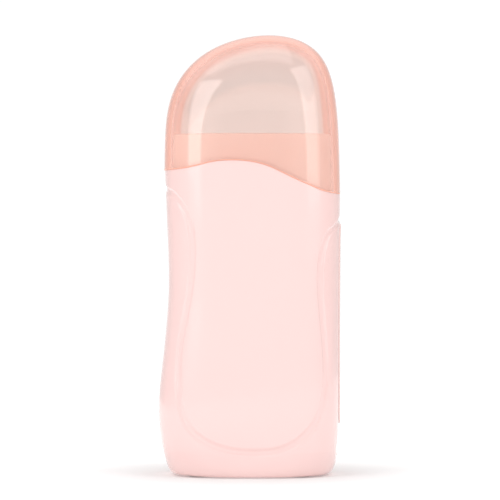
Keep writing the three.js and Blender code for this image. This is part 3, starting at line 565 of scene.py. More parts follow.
def channel_path():
    """the channel's middle line on the surface, from the left parting line round the front to the right one"""
    pts = []
    p = pchip([(0.0, 114.3), (6.0, 113.7), (13.2, 112.1)])
    for y in np.linspace(0, 13.2, 60)[:-1]:
        z = float(p(y))
        pts.append((float(body_side_x(-y, z, -1)), -y, z))
    line = np.array(CHANNEL_LINE, float)
    k = np.concatenate([[0], np.cumsum(np.hypot(*np.diff(line, axis=0).T))])
    fx = smoothed(pchip(list(zip(k, line[:, 0]))), 0, k[-1], lambda v: 2.2, margin=8)
    fz = smoothed(pchip(list(zip(k, line[:, 1]))), 0, k[-1], lambda v: 2.2, margin=8)
    for v in np.linspace(0, k[-1], 1500):
        x, z = float(fx(v)), float(fz(v))
        pts.append((x, float(body_front_y(x, z)), z))
    y_end = pts[-1][1]
    q = pchip([(0.0, 102.5), (6.0, 101.4), (-y_end, pts[-1][2])]) if y_end < -7 else pchip([(0.0, 102.5), (-y_end, pts[-1][2])])
    for y in np.linspace(-y_end, 0, 70)[1:]:
        z = float(q(y))
        pts.append((float(body_side_x(-y, z, 1)), -y, z))
    pts = np.array(pts)
    # even out and densify
    for _ in range(3):
        s = np.concatenate([[0], np.cumsum(np.linalg.norm(np.diff(pts, axis=0), axis=1))])
        u = np.linspace(0, s[-1], 2600)
        pts = np.stack([np.interp(u, s, pts[:, c]) for c in range(3)], 1)
        w = np.exp(-0.5 * (np.arange(-14, 15) / 6.0) ** 2)
        w /= w.sum()
        soft = np.stack([np.convolve(np.pad(pts[:, c], 14, mode="reflect", reflect_type="odd"), w, "valid") for c in range(3)], 1)
        soft[0], soft[-1] = pts[0], pts[-1]
        pts = soft
    return pts


def channel_profile(d):
    u = np.clip((CHANNEL_HALF - d) / (CHANNEL_HALF - CHANNEL_FLOOR), 0, 1)
    return CHANNEL_DEPTH * u * u * u * (u * (6 * u - 15) + 10)


def shell_rows():
    rows = list(np.concatenate([[0.6, 0.7, 0.85, 1.1, 1.45, 1.9, 2.5, 3.2, 4.0, 5.0, 6.0, 7.0, 8.0], np.arange(8.4, 24.01, 0.39),
                                np.arange(25.0, 94.0, 1.0), np.arange(94.0, 124.01, 0.46)]))
    while (len(rows) - 1) % 4:
        rows.append(rows[-1] + 0.3)
    return np.array(rows)


def half_shell(name):
    T = front_columns()
    V = shell_rows()
    top_v = V[-1]
    C = len(T)
    rim, rim_in, gap = 1.0, 0.24, 0.05
    Z = np.repeat(V[:, None], C, 1)
    X = np.zeros_like(Z)
    tt = np.repeat(T[None, :], len(V), 0)
    for _ in range(4):
        X, Y, NX, NY = body_point(tt, Z)
        top = wave(X) - gap - rim
        Z = np.where(V[:, None] > 94, 94 + (V[:, None] - 94) * (top - 94) / (top_v - 94), V[:, None])
    X, Y, NX, NY = body_point(tt, Z)
    Z = Z - 0.1 * np.clip((4.0 - Z) / 3.4, 0, 1) ** 2  # the base stands half a millimetre off the table
    # channel
    path = channel_path()
    tree = kdtree.KDTree(len(path))
    for i, p in enumerate(path):
        tree.insert(Vector(p), i)
    tree.balance()
    near = np.zeros_like(X)
    low = Z < 120
    flat = np.stack([X, np.minimum(Y, 0), Z], -1).reshape(-1, 3)
    dist = np.array([tree.find(Vector(p))[2] for p in flat]).reshape(X.shape)
    sink = channel_profile(dist)
    # the parting edge is slightly rounded
    e = np.clip(0.22 - np.abs(Y), 0, 0.2)
    sink = sink + 0.2 - np.sqrt(np.clip(0.04 - e * e, 0, None))
    OX, OY, OZ = X - NX * sink, np.minimum(Y - NY * sink, -0.05), Z.copy()
    outer = np.stack([OX, OY, OZ], -1)
    # rim: a small round over the top edge, then in
    last = []
    for a in (11, 22, 33, 45, 56, 67, 79, 90):
        g = math.radians(a)
        zz = wave(X[-1]) - gap - rim + rim * math.sin(g)
        x, y, nx, ny = body_point(T, zz)
        k = rim_in * (1 - math.cos(g)) + sink[-1]
        last.append(np.stack([x - nx * k, np.minimum(y - ny * k, -0.05), zz], -1))
    # underside towards the parting line
    under = []
    for k in (0.0, 0.3, 0.6, 0.85):
        under.append(np.stack([outer[0][:, 0], -0.05 + k * (outer[0][:, 1] + 0.05), outer[0][:, 2]], -1))
    # inside wall, every fourth row and column
    ci = np.arange(0, C, 4)
    ri = np.arange(0, len(V), 4)
    zi = np.maximum(Z[np.ix_(ri, ci)], 3.0)
    zi[-1] = wave(X[-1][ci]) - gap
    x, y, nx, ny = body_point(np.repeat(T[ci][None, :], len(ri), 0), zi)
    inner = np.stack([x - nx * 2.4, np.minimum(y - ny * 2.4, -0.006), zi], -1)
    keep = [r for r in range(len(ri)) if r == 0 or Z[ri[r], 0] > 3.0]
    floor = [np.stack([inner[0][:, 0], -0.006 + k * (inner[0][:, 1] + 0.006), inner[0][:, 2]], -1) for k in (0.0, 0.5)]
    verts = np.concatenate([np.concatenate(under), outer.reshape(-1, 3), np.concatenate(last), inner.reshape(-1, 3), np.concatenate(floor)])
    nu, no, nl = len(under), len(V), len(last)
    faces = []
    rows = nu + no + nl
    for r in range(rows - 1):
        for c in range(C - 1):
            a = r * C + c
            faces.append((a, a + 1, a + C + 1, a + C))
    D = len(ci)
    i0 = rows * C
    for k in range(len(keep) - 1):
        r0, r1 = keep[k], keep[k + 1]
        for c in range(D - 1):
            faces.append((i0 + r0 * D + c, i0 + r1 * D + c, i0 + r1 * D + c + 1, i0 + r0 * D + c + 1))
    f0 = i0 + len(ri) * D
    for c in range(D - 1):
        faces.append((f0 + c, f0 + D + c, f0 + D + c + 1, f0 + c + 1))
        faces.append((f0 + D + c, i0 + c, i0 + c + 1, f0 + D + c + 1))
        # rim and the strip along the parting line under the base
        top_row = (rows - 1) * C
        faces.append(tuple(top_row + 4 * c + k for k in range(5)) + (i0 + (len(ri) - 1) * D + c + 1, i0 + (len(ri) - 1) * D + c))
        faces.append(tuple(4 * c + k for k in range(5)) + (f0 + c + 1, f0 + c))
    # parting faces down both sides
    for col, icol in ((0, 0), (C - 1, D - 1)):
        for k in range(len(keep) - 1):
            r0, r1 = ri[keep[k]], ri[keep[k + 1]]
            strip = [(nu + r) * C + col for r in range(r0, r1 + 1)]
            if k == len(keep) - 2:
                strip += [(nu + no + j) * C + col for j in range(nl)]
            faces.append(tuple(strip) + (i0 + keep[k + 1] * D + icol, i0 + keep[k] * D + icol))
    return make(name, verts, faces)


stadium_w = rr(14.0, 80.4, 6.99, 160, (0, 60.2))


def shell_cutters(sign):
    cut = [prism("cut_window", stadium_w, "x", 22, 45),
           prism("cut_lamp", circle(2.3, 40, (0, 9.0)), "x", 28, 40)]
    for sx in (-1, 1):
        cut.append(prism("cut_foot", circle(4.3, 56, (sx * 20, sign * 12)), "z", -2, 1.7))
    return cut


front = half_shell("front_shell_skin")
rear_mesh = front.data.copy()
for v in rear_mesh.vertices:
    v.co.y = -v.co.y
rear_mesh.flip_normals()
rear = bpy.data.objects.new("rear_shell_skin", rear_mesh)
bpy.context.scene.collection.objects.link(rear)

# ledges, bosses and the pad behind the rear panel
def solid_loft(name, inset, zs, y_side):
    t = np.linspace(0, 2 * math.pi, 97)[:-1]
    rings = []
    for z in zs:
        x, y, _, _ = body_point(t, np.full_like(t, z), inset)
        rings.append(np.stack([x, y, np.full_like(t, z)], 1))
    return rings_mesh(name, rings)


def boss(name, sx, y0, y1):
    b = prism(name, circle(3.5, 40, (sx * 25, 19)), "y", y0, y1)
    keep = solid_loft("keep", 1.0, [3, 8, 14, 19, 24, 28], 0)
    return boolean(b, [keep], "INTERSECT")


def ledge(name, z0, z1, inner, lo, hi):
    ring = solid_loft(name, 2.2, [z0, z1], 0)
    hole = solid_loft("hole", inner, [z0 - 1, z1 + 1], 0)
    ring = boolean(ring, [hole])
    half = box_mesh("half", (-50, lo, z0 - 2), (50, hi, z1 + 2))
    return boolean(ring, [half], "INTERSECT")


for obj, sign in ((front, -1), (rear, 1)):
    side = (-40, -0.06) if sign < 0 else (0.06, 40)
    boolean(obj, [boss("boss_a", -1, *sorted((sign * 0.25, sign * 30))), boss("boss_b", 1, *sorted((sign * 0.25, sign * 30))),
                  ledge("ledge_top", 101.4, 103.6, 4.4, *side)], "UNION")
pad = box_mesh("pad", (-20, 19.9, 2.6), (20, 22.3, 21.9))
boolean(rear, [pad], "UNION")
boolean(rear, [prism("cut_panel", rr(36, 17, 3, 96, (0, 12.5)), "y", 22.3, 40),
               prism("cut_inlet", rr(20.1, 12.1, 1.2, 64, (-6, 12.5)), "y", 15, 40),
               prism("cut_switch", rr(9.4, 13.8, 0.5, 64, (11, 12.5)), "y", 15, 40)])
for sx in (-1, 1):
    boolean(rear, [prism("cut_screw", circle(1.8, 32, (sx * 25, 19)), "y", -1, 15),
                   prism("cut_head", circle(2.9, 56, (sx * 25, 19)), "y", 9.6, 40)])
    boolean(front, [prism("cut_pilot", circle(1.7, 32, (sx * 25, 19)), "y", -10, 2)])
boolean(front, shell_cutters(-1))
boolean(rear, shell_cutters(1))
finish_shading(front, 32)
finish_shading(rear, 32)
wear(front, pink, "housing", "pink_shell", "front_shell")
wear(rear, pink, "housing", "pink_shell", "rear_shell")

# ------------------------------------------------------------------ cap
def build_cap():
    N = 264
    ref = np.linspace(0, 2 * math.pi, 20001)
    px, py = super_point(ref, 2.6)
    s = np.concatenate([[0], np.cumsum(np.hypot(34 * np.diff(px), 23.5 * np.diff(py)))])
    t = np.interp(s[-1] * np.arange(N) / N, s, ref)
    s_mid = math.sqrt(HEIGHT - 126.0)
    levels = np.concatenate([[0.06, 0.14, 0.24, 0.35], np.linspace(0.48, s_mid, 104)])
    drops = np.linspace(0, 1, 16)[1:]

    def row(z, tt=t):
        sv = np.sqrt(np.clip(HEIGHT - z, 1e-9, None))
        xl, xr, b, n = cap_side(-sv), cap_side(sv), cap_depth(sv), cap_square(sv)
        cx, a = (xl + xr) / 2, (xr - xl) / 2
        qx, qy = super_point(tt, n)
        return np.stack([cx + a * qx, b * qy, z * np.ones_like(tt)], -1)

    edge = 0.3
    z_edge = np.full(N, 118.0)
    for _ in range(5):
        z_edge = wave(row(z_edge)[:, 0])
    rows = [row(np.full(N, HEIGHT - v * v)) for v in levels]
    rows += [row(126 - (126 - (z_edge + edge)) * k) for k in drops]
    outer = np.array(rows)
    du = np.roll(outer, -1, 1) - np.roll(outer, 1, 1)
    dv = np.gradient(outer, axis=0)
    nrm = np.cross(du, dv)
    nrm /= np.linalg.norm(nrm, axis=2, keepdims=True)
    centre = np.array([1.0, 0, 130])
    flip = np.sign(((outer - centre) * nrm).sum(2, keepdims=True))
    nrm *= flip
    for k in range(4):  # near the peak the normal is taken from the curvature of the rows below
        w = levels[k] / levels[4]
        nrm[k] = nrm[4] * w + np.array([0, 0, 1.0]) * (1 - w)
        nrm[k] /= np.linalg.norm(nrm[k], axis=1, keepdims=True)
    last_n = nrm[-1]
    rim = []
    for a in (25, 50, 75, 90):
        g = math.radians(a)
        p = row(z_edge + edge - edge * math.sin(g))
        rim.append(p - last_n * edge * (1 - math.cos(g)))
    for a in (90, 60, 30):
        g = math.radians(a)
        p = row(z_edge + edge - edge * math.sin(g))
        rim.append(p - last_n * (CAP_WALL - edge * (1 - math.cos(g))))
    inner = (outer - nrm * CAP_WALL)[::-1]
    inner = inner[:-4]
    rings = [r for r in outer] + rim + [r for r in inner]
    verts = np.concatenate(rings + [np.array([[cap_side(0.0), 0, HEIGHT]]), np.array([[cap_side(0.0), 0, HEIGHT - CAP_WALL]])])
    faces = []
    for r in range(len(rings) - 1):
        for i in range(N):
            j = (i + 1) % N
            faces.append((r * N + i, r * N + j, (r + 1) * N + j, (r + 1) * N + i))
    top, under = len(verts) - 2, len(verts) - 1
    e = (len(rings) - 1) * N
    for i in range(N):
        j = (i + 1) % N
        faces.append((top, j, i))
        faces.append((under, e + i, e + j))
    dome = make("cap_dome", verts, faces, 40)
    lip = dome.data.attributes.new("lip", "FLOAT", "POINT")
    co = np.array([v.co for v in dome.data.vertices]) / MM
    up = co[:, 2] - wave(co[:, 0])
    lip.data.foreach_set("value", np.clip(1 - up / 0.3, 0, 1).astype(np.float32))
    # 1 on the outer face of the wall, 0 on the inner one
    faces_out = kdtree.KDTree(outer.shape[0] * N + 1)
    for i, p in enumerate(np.concatenate([outer.reshape(-1, 3), [[cap_side(0.0), 0, HEIGHT]]])):
        faces_out.insert(Vector(p), i)
    faces_out.balance()
    skin = dome.data.attributes.new("skin", "FLOAT", "POINT")
    skin.data.foreach_set("value", np.array([float(faces_out.find(Vector(p))[2] < 0.05) for p in co], dtype=np.float32))
    # the faces of the rounded lower edge are moulded matt
    points = np.concatenate([outer[-1]] + rim + [inner[0]])
    tree = kdtree.KDTree(len(points))
    for i, p in enumerate(points):
        tree.insert(Vector(p), i)
    tree.balance()
    on_edge = np.array([tree.find(Vector(p))[2] < 0.002 for p in co])
    matt = [bool(on_edge[list(face.vertices)].all()) for face in dome.data.polygons]
    return dome, matt


cap, cap_matt = build_cap()
wear(cap, clear_peach, "cap", "clear_peach", "cap")
cap.data.materials.append(cap_lip.mat)
for face, is_matt in zip(cap.data.polygons, cap_matt):
    if is_matt:
        face.material_index = 1

# ------------------------------------------------------------------ collar
def build_collar():
    M = 288
    t = 2 * math.pi * np.arange(M) / M
    px, py = super_point(t, 2.8)
    ref = np.linspace(0, 2 * math.pi, 20001)
    rx, ry = super_point(ref, 2.8)
    s = np.concatenate([[0], np.cumsum(np.hypot(32 * np.diff(rx), 21 * np.diff(ry)))])
    t = np.interp(s[-1] * np.arange(M) / M, s, ref)
    wx = 1.2

    def wall(d, z):
        x, y, _, _ = body_point(t, np.full(M, float(z)), d)
        return np.stack([x, y, np.full(M, float(z))], 1)

    phi = np.unwrap(np.arctan2(wall(2.7, 130)[:, 1], wall(2.7, 130)[:, 0] - wx))

    def slot(w, h, r, z):
        p = rr_at(phi, w, h, r, (wx, 0))
        return np.stack([p[:, 0], p[:, 1], np.full(M, float(z))], 1)

    rings = [wall(3.0, 104.0), wall(2.75, 104.1), wall(2.7, 104.4), wall(2.7, 107.15), wall(1.95, 107.3), wall(1.72, 107.55),
             wall(1.72, 109.05), wall(1.95, 109.3), wall(2.7, 109.45)]
    rings += [wall(2.7, z) for z in np.linspace(111, 134.4, 14)]
    for a in (20, 40, 60, 80, 90):
        g = math.radians(a)
        rings.append(wall(2.7 + 0.9 * (1 - math.cos(g)), 134.6 + 0.9 * math.sin(g)))
    edge, hole = wall(3.6, 135.5), slot(55.6, 31.2, 9.8, 135.5)
    for k in (0.25, 0.5, 0.75, 1.0):
        rings.append(edge + (hole - edge) * k)
    for a in (30, 60, 90):
        g = math.radians(a)
        k = 0.55 * math.sin(g)
        rings.append(slot(55.6 - 2 * k, 31.2 - 2 * k, 9.8 - k, 135.5 - 0.55 * (1 - math.cos(g))))
    rings += [slot(54.5, 30.1, 9.25, 133.6), slot(54.7, 30.3, 9.35, 133.5), slot(56.6, 32.2, 10.3, 133.48), slot(56.6, 32.2, 10.3, 130.7),
              slot(57.0, 32.6, 10.5, 130.5)]
    for z in (130.5, 133.4):
        lip = slot(59.4, 35, 11.7, z)
        w = wall(4.5, z)
        rl = np.hypot(lip[:, 0] - wx, lip[:, 1])
        rw = np.hypot(w[:, 0] - wx, w[:, 1])
        k = np.minimum(1, (rw - 0.1) / rl)[:, None]
        c = np.array([wx, 0, z])
        rings.append(c + (lip - c) * k)
    rings += [wall(4.25, 133.45)] + [wall(4.2, z) for z in np.linspace(132.8, 104.6, 12)] + [wall(4.1, 104.1), wall(3.9, 104.0)]
    return rings_mesh("collar_ring", rings, loop=True, sharp=38)


collar = build_collar()
wear(collar, collar_painted_pale, "housing", "collar_plastic", "neck_collar")

# ------------------------------------------------------------------ drawn aluminium well
def build_well():
    M = 160
    c = (1.2, 0)
    ring = lambda w, d, r, z: place(rr(w, d, r, M, c), "z", z)
    rings = [ring(50, 25.6, 7, 26.0), ring(53.6, 29.2, 8.8, 26.05), ring(55.2, 30.8, 9.6, 26.4), ring(55.9, 31.5, 9.95, 27.2)]
    rings += [ring(56, 31.6, 10, z) for z in np.linspace(28, 133.1, 22)]
    rings += [ring(55.9, 31.5, 9.95, 133.25), ring(55.4, 31, 9.7, 133.3), ring(54.6, 30.2, 9.3, 133.3), ring(54.1, 29.7, 9.05, 133.2)]
    rings += [ring(54, 29.6, 9, z) for z in np.linspace(132.9, 29.4, 22)]
    rings += [ring(53.7, 29.3, 8.85, 28.3), ring(52.6, 28.2, 8.3, 27.4), ring(50.5, 26.1, 7.2, 27.02), ring(40, 16, 5, 27.0)]
    return rings_mesh("well_sleeve", rings, sharp=40)


well = build_well()
boolean(well, [prism("cut_slot", rr(10, 64, 4.99, 120, (0, 66)), "x", 22, 40)])
finish_shading(well, 40)
wear(well, alu, "housing", "well_aluminium", "heating_well")

# ------------------------------------------------------------------ level window
def build_window():
    def ring(w, h, d):
        r, s = w / 2, (h - w) / 2
        up, a = np.linspace(-s, s, 86), np.linspace(0, math.pi, 26)[1:-1]
        o = np.concatenate([np.stack([np.full(86, r), up], 1), np.stack([r * np.cos(a), s + r * np.sin(a)], 1),
                            np.stack([np.full(86, -r), up[::-1]], 1), np.stack([-r * np.cos(a), -s - r * np.sin(a)], 1)])
        o = np.roll(o, 12, 0) + (0, 60.2)  # it starts at the bottom, so that the two halves mirror each other
        x = body_side_x(o[:, 0], o[:, 1], 1, d)
        return np.stack([x, o[:, 0], o[:, 1]], 1)

    w, h = 13.5, 79.9
    rings = []
    for k in (0.02, 0.25, 0.5, 0.75):
        rings.append(ring(w * k, h - w + w * k, -0.5))
    for cut, drop_ in ((1.0, 0.0), (0.6, 0.02), (0.3, 0.1), (0.1, 0.25), (0.0, 0.5)):
        rings.append(ring(w - 2 * cut * 0.6, h - 2 * cut * 0.6, -0.5 + drop_))
    rings += [ring(w, h, 1.2), ring(w, h, 2.58), ring(17.6, h + 2.0, 2.6), ring(17.9, h + 2.2, 2.75), ring(17.9, h + 2.2, 3.45), ring(17.5, h + 1.9, 3.6)]
    for k in (0.75, 0.5, 0.25, 0.02):
        rings.append(ring(17.5 * k, h + 1.9 - 17.5 * (1 - k), 3.6))
    return rings_mesh("level_window", rings, "ladder", "ladder", sharp=40)


window = build_window()
wear(window, clear_window, "housing", "clear_window", "side_window")
window.data.materials.append(window_bead.mat)
for face in window.data.polygons:  # the bead around the pane is not see-through
    fy, fz = face.center.y / MM, face.center.z / MM - 60.2
    if 6.75 - math.hypot(fy, max(abs(fz) - 33.2, 0)) < 0.62 and face.center.x / MM > 30:
        face.material_index = 1

# lamp lens
xo = float(body_right(9.0))
lens = turned("lamp_lens_piece", [(0.01, xo + 0.1), (0.8, xo + 0.09), (1.4, xo + 0.04), (1.75, xo - 0.04), (1.95, xo - 0.2), (2.0, xo - 0.5),
                                  (2.0, xo - 3.1), (2.75, xo - 3.12), (2.8, xo - 3.2), (2.8, xo - 3.75), (2.6, xo - 3.8), (0.01, xo - 3.8)],
              "x", (0, 9.0))
wear(lens, lamp_mat, "housing", "lamp_lens", "indicator_lens")

# ------------------------------------------------------------------ feet and screws
for name, sx, sy in (("foot_front_left", -1, -1), ("foot_front_right", 1, -1), ("foot_rear_left", -1, 1), ("foot_rear_right", 1, 1)):
    foot = turned(name + "_pad", [(0.01, 0.06), (2.6, 0.06), (2.9, 0.0), (3.5, 0.0), (3.8, 0.08), (3.95, 0.25), (4.0, 0.5), (4.0, 1.5), (0.01, 1.5)],
                  "z", (sx * 20, sy * 12), 72, 40)
    wear(foot, rubber, "housing", "rubber_feet", name)
for name, sx in (("case_screw_left", -1), ("case_screw_right", 1)):
    c = (sx * 25, 19)
    screw = turned(name + "_head", [(0.01, -8.0), (0.4, -7.9), (1.2, -6.6), (1.4, -6.0), (1.4, 9.7), (2.45, 9.7), (2.5, 9.85), (2.5, 10.5),
                                    (2.35, 11.0), (2.0, 11.4), (1.4, 11.62), (0.7, 11.7), (0.01, 11.7)], "y", c, 56, 40)
    cross = [box_mesh("cut_a", (c[0] - 1.35, 10.6, c[1] - 0.28), (c[0] + 1.35, 13, c[1] + 0.28)),
             box_mesh("cut_b", (c[0] - 0.28, 10.6, c[1] - 1.35), (c[0] + 0.28, 13, c[1] + 1.35))]
    boolean(screw, cross)
    finish_shading(screw, 40)
    wear(screw, steel, "housing", "steel", name)

# ------------------------------------------------------------------ mains inlet
def build_inlet():
    M = 192
    c = np.array([-6.0, 12.5])
    phi = 2 * math.pi * np.arange(M) / M
    sq = lambda w, h, r, y: place(rr_at(phi, w, h, r, c), "y", y)

    def eight(grow, y):
        R, k = 4.3 + grow, 3.85
        inside = np.clip(R * R - (k * np.sin(phi)) ** 2, 0, None)
        rho = k * np.abs(np.cos(phi)) + np.sqrt(inside)
        waist = (3.55 + grow) / np.clip(np.abs(np.sin(phi)), 1e-3, None)
        rho = np.where(np.abs(np.sin(phi)) > 0.55, np.maximum(np.where(inside > 0, rho, 0), np.minimum(waist, rho + 9)), rho)
        rho = np.minimum(rho, 8.15 + grow)
        p = np.stack([rho * np.cos(phi), rho * np.sin(phi)], 1)
        p[:, 1] = np.clip(p[:, 1], -4.3 - grow, 4.3 + grow)
        return place(p + c, "y", y)

    rings = [sq(18.9, 10.9, 0.8, 7.5), sq(19.5, 11.5, 1.0, 7.8), sq(19.5, 11.5, 1.0, 22.3), sq(22.2, 14.4, 2.0, 22.4), sq(22.3, 14.5, 2.0, 22.5),
             sq(22.3, 14.5, 2.0, 22.9), sq(22.15, 14.35, 1.95, 23.1), sq(21.8, 14.0, 1.8, 23.24), sq(21.3, 13.5, 1.6, 23.3),
             sq(19.6, 11.6, 2.6, 23.3), eight(0.6, 23.3), eight(0.4, 23.26), eight(0.15, 23.1), eight(0.0, 22.8), eight(0.0, 20), eight(0.0, 15),
             eight(-0.05, 10.8), eight(-0.4, 10.3), eight(-2.2, 10.2)]
    return rings_mesh("inlet_block", rings, sharp=38)


inlet = build_inlet()
wear(inlet, inlet_mat, "housing", "inlet_plastic", "inlet_socket")
for name, k in (("inlet_pin_left", -1), ("inlet_pin_right", 1)):
    pin = turned(name + "_rod", [(0.01, 4.5), (1.1, 4.5), (1.2, 4.65), (1.2, 18.9), (1.12, 19.5), (0.9, 19.95), (0.55, 20.25), (0.2, 20.38), (0.01, 20.4)],
                 "y", (-6 + k * 4.3, 12.5), 48, 40)
    wear(pin, brass, "housing", "brass", name)

# ------------------------------------------------------------------ rocker switch
def build_switch():
    M = 160
    c = (11.0, 12.5)
    phi = 2 * math.pi * np.arange(M) / M
    sq = lambda w, h, r, y: place(rr_at(phi, w, h, r, c), "y", y)
    rings = [sq(8.2, 12.6, 0.5, 12.0), sq(8.8, 13.2, 0.7, 12.3), sq(8.8, 13.2, 0.7, 22.3), sq(10.4, 14.9, 1.1, 22.4), sq(10.5, 15, 1.1, 22.5),
             sq(10.5, 15, 1.1, 22.95), sq(10.35, 14.85, 1.1, 23.12), sq(10.05, 14.55, 1.0, 23.25), sq(9.6, 14.1, 0.9, 23.3),
             sq(7.9, 12.1, 0.9, 23.3), sq(7.6, 11.8, 0.75, 23.2), sq(7.4, 11.6, 0.65, 22.9), sq(7.4, 11.6, 0.65, 17.8), sq(7.0, 11.2, 0.5, 17.45),
             sq(4, 8, 0.5, 17.4)]
    return rings_mesh("switch_bezel", rings, sharp=38)


switch = build_switch()
wear(switch, bezel_mat, "housing", "switch_plastic", "switch_body")

PIVOT = np.array([11.0, 21.6, 12.5])
TILT = math.radians(-10)


def tip(p):
    """rocker drawn level about its pivot, as (x, outwards, up), tipped to OFF"""
    p = np.asarray(p, float)
    y = p[:, 1] * math.cos(TILT) - p[:, 2] * math.sin(TILT)
    z = p[:, 1] * math.sin(TILT) + p[:, 2] * math.cos(TILT)
    return np.stack([p[:, 0], y, z], 1) + PIVOT


def crown(u):
    """how far the rocker's face stands out along its length"""
    return 1.22 + 0.78 * (np.abs(u) / 5.3) ** 1.8


def build_rocker():
    us = np.concatenate([[-5.3, -5.27, -5.15, -4.95], np.linspace(-4.6, 4.6, 36), [4.95, 5.15, 5.27, 5.3]])
    drop_u = {5.3: 0.55, 5.27: 0.34, 5.15: 0.16, 4.95: 0.05}
    vs = [(-3.4, 0.6), (-3.38, 0.34), (-3.3, 0.17), (-3.14, 0.05), (-2.8, 0.0), (-1.4, 0.0), (0, 0.0), (1.4, 0.0), (2.8, 0.0), (3.14, 0.05), (3.3, 0.17),
          (3.38, 0.34), (3.4, 0.6)]
    rings = []
    for u in us:
        d = drop_u.get(round(abs(u), 2), 0.0)
        top = [(v, crown(u) - max(d, e) - 0.5 * min(d, e), u) for v, e in vs]
        low = -1.6 if abs(u) > 1.8 else -1.6
        depth = -3.2 + 1.6 * np.clip((abs(u) - 1.8) / 3.5, 0, 1)
        bottom = [(3.4, depth, u), (1.5, depth, u), (-1.5, depth, u), (-3.4, depth, u)]
        rings.append(tip(top + bottom))
    r = rings_mesh("rocker_cap", rings, sharp=38)
    axle = turned("axle", [(0.01, -3.95), (0.65, -3.95), (0.8, -3.8), (0.8, 3.8), (0.65, 3.95), (0.01, 3.95)], "x", (0, 0), 32, 40)
    co = np.array([v.co for v in axle.data.vertices]) / MM
    for v, p in zip(axle.data.vertices, tip(co)):
        v.co = Vector(p * MM)
    return boolean(r, [axle], "UNION")


rocker = build_rocker()
finish_shading(rocker, 38)
wear(rocker, rocker_mat, "rocker", "rocker_plastic", "rocker")


def on_face(outline, lift):
    p = [(x, crown(u) + lift, u) for x, u in outline]
    return tip(p)


def mark(name, outer, inner=None):
    """plain raised mark that follows the rocker's face"""
    if inner is None:
        rings = [on_face(outer, -0.05), on_face(outer, 0.07), on_face(outer * 0.96 + outer.mean(0) * 0.04, 0.09)]
        return rings_mesh(name, rings, sharp=30)
    rings = [on_face(outer, -0.05), on_face(outer, 0.08), on_face(inner, 0.08), on_face(inner, -0.05)]
    return rings_mesh(name, rings, loop=True, sharp=30)


bar = mark("mark_on", rr(0.42, 2.3, 0.2, 48, (0, 3.0)))
ring_o = mark("mark_off", circle(1.15, 56, (0, -3.0)), circle(0.78, 56, (0, -3.0)))
for m in (bar, ring_o):
    wear(m, mark_mat, "rocker", None)

# ------------------------------------------------------------------ inner pieces keep their CAD shape
for node, material in {
    "well_holder": holder_mat, "inner_insulator": film, "inner_electrode": nickel, "ptc_stone_upper": ceramic, "ptc_stone_lower": ceramic,
    "outer_electrode": nickel, "outer_insulator": film, "clamp_spring": steel, "thermostat": black, "thermal_fuse": fuse_mat, "fuse_clip": steel,
    "switch_terminal_upper": brass, "switch_terminal_lower": brass, "led_board": board_mat, "led": led_mat, "resistor": resistor_mat, "diode": black,
    "wire_live_in": brown_wire, "wire_live_switched": brown_wire, "wire_fuse_link": nickel, "wire_live_heater": brown_wire, "wire_neutral": blue_wire,
    "wire_led_live": red_wire, "wire_led_neutral": black_wire,
}.items():
    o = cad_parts[node]
    o.data.materials.clear()
    o.data.materials.append(material.mat)

# ------------------------------------------------------------------ studio
def area(name, centre, side, up, size, radiance):
    data = bpy.data.lights.new(name, "AREA")
    data.shape = "RECTANGLE"
    data.size, data.size_y = size
    data.energy = radiance * math.pi * size[0] * size[1]
    o = bpy.data.objects.new(name, data)
    x, y = Vector(side).normalized(), Vector(up).normalized()
    o.location = centre
    o.rotation_euler = Matrix((x, y, x.cross(y))).transposed().to_euler()
    bpy.context.scene.collection.objects.link(o)
    return o


def standing(name, az, centre, lean, roll, size, radiance):
    """a strip box beside the camera whose top leans over the object; angles in degrees"""
    a, t, r = math.radians(az), math.radians(lean), math.radians(roll)
    out, along = Vector((math.sin(a), -math.cos(a), 0)), Vector((math.cos(a), math.sin(a), 0))
    up = Vector((0, 0, math.cos(t))) - out * math.sin(t)
    return area(name, centre, along * math.cos(r) + up * math.sin(r), up * math.cos(r) - along * math.sin(r), size, radiance)


standing("softbox_left", -45.7, (-0.669, -0.652, 0.435), 45.9, -2.7, (0.473, 0.887), 1.5)
standing("softbox_right", 52.5, (0.701, -0.538, 0.557), 28.2, 0.0, (0.479, 0.968), 1.1)
turn = Matrix.Rotation(math.radians(19.9), 3, "Z") @ Matrix.Rotation(math.radians(-6.8), 3, "X") @ Matrix.Rotation(math.radians(31.3), 3, "Y")
area("softbox_top", (-0.452, -0.280, 1.35), turn.col[0], turn.col[1], (1.74, 0.656), 0.58)

# a pale round table
floor_mat = Mat("floor", (240, 240, 240), rough=0.6, spread=0.004, scale=3, rough_spread=0.05)
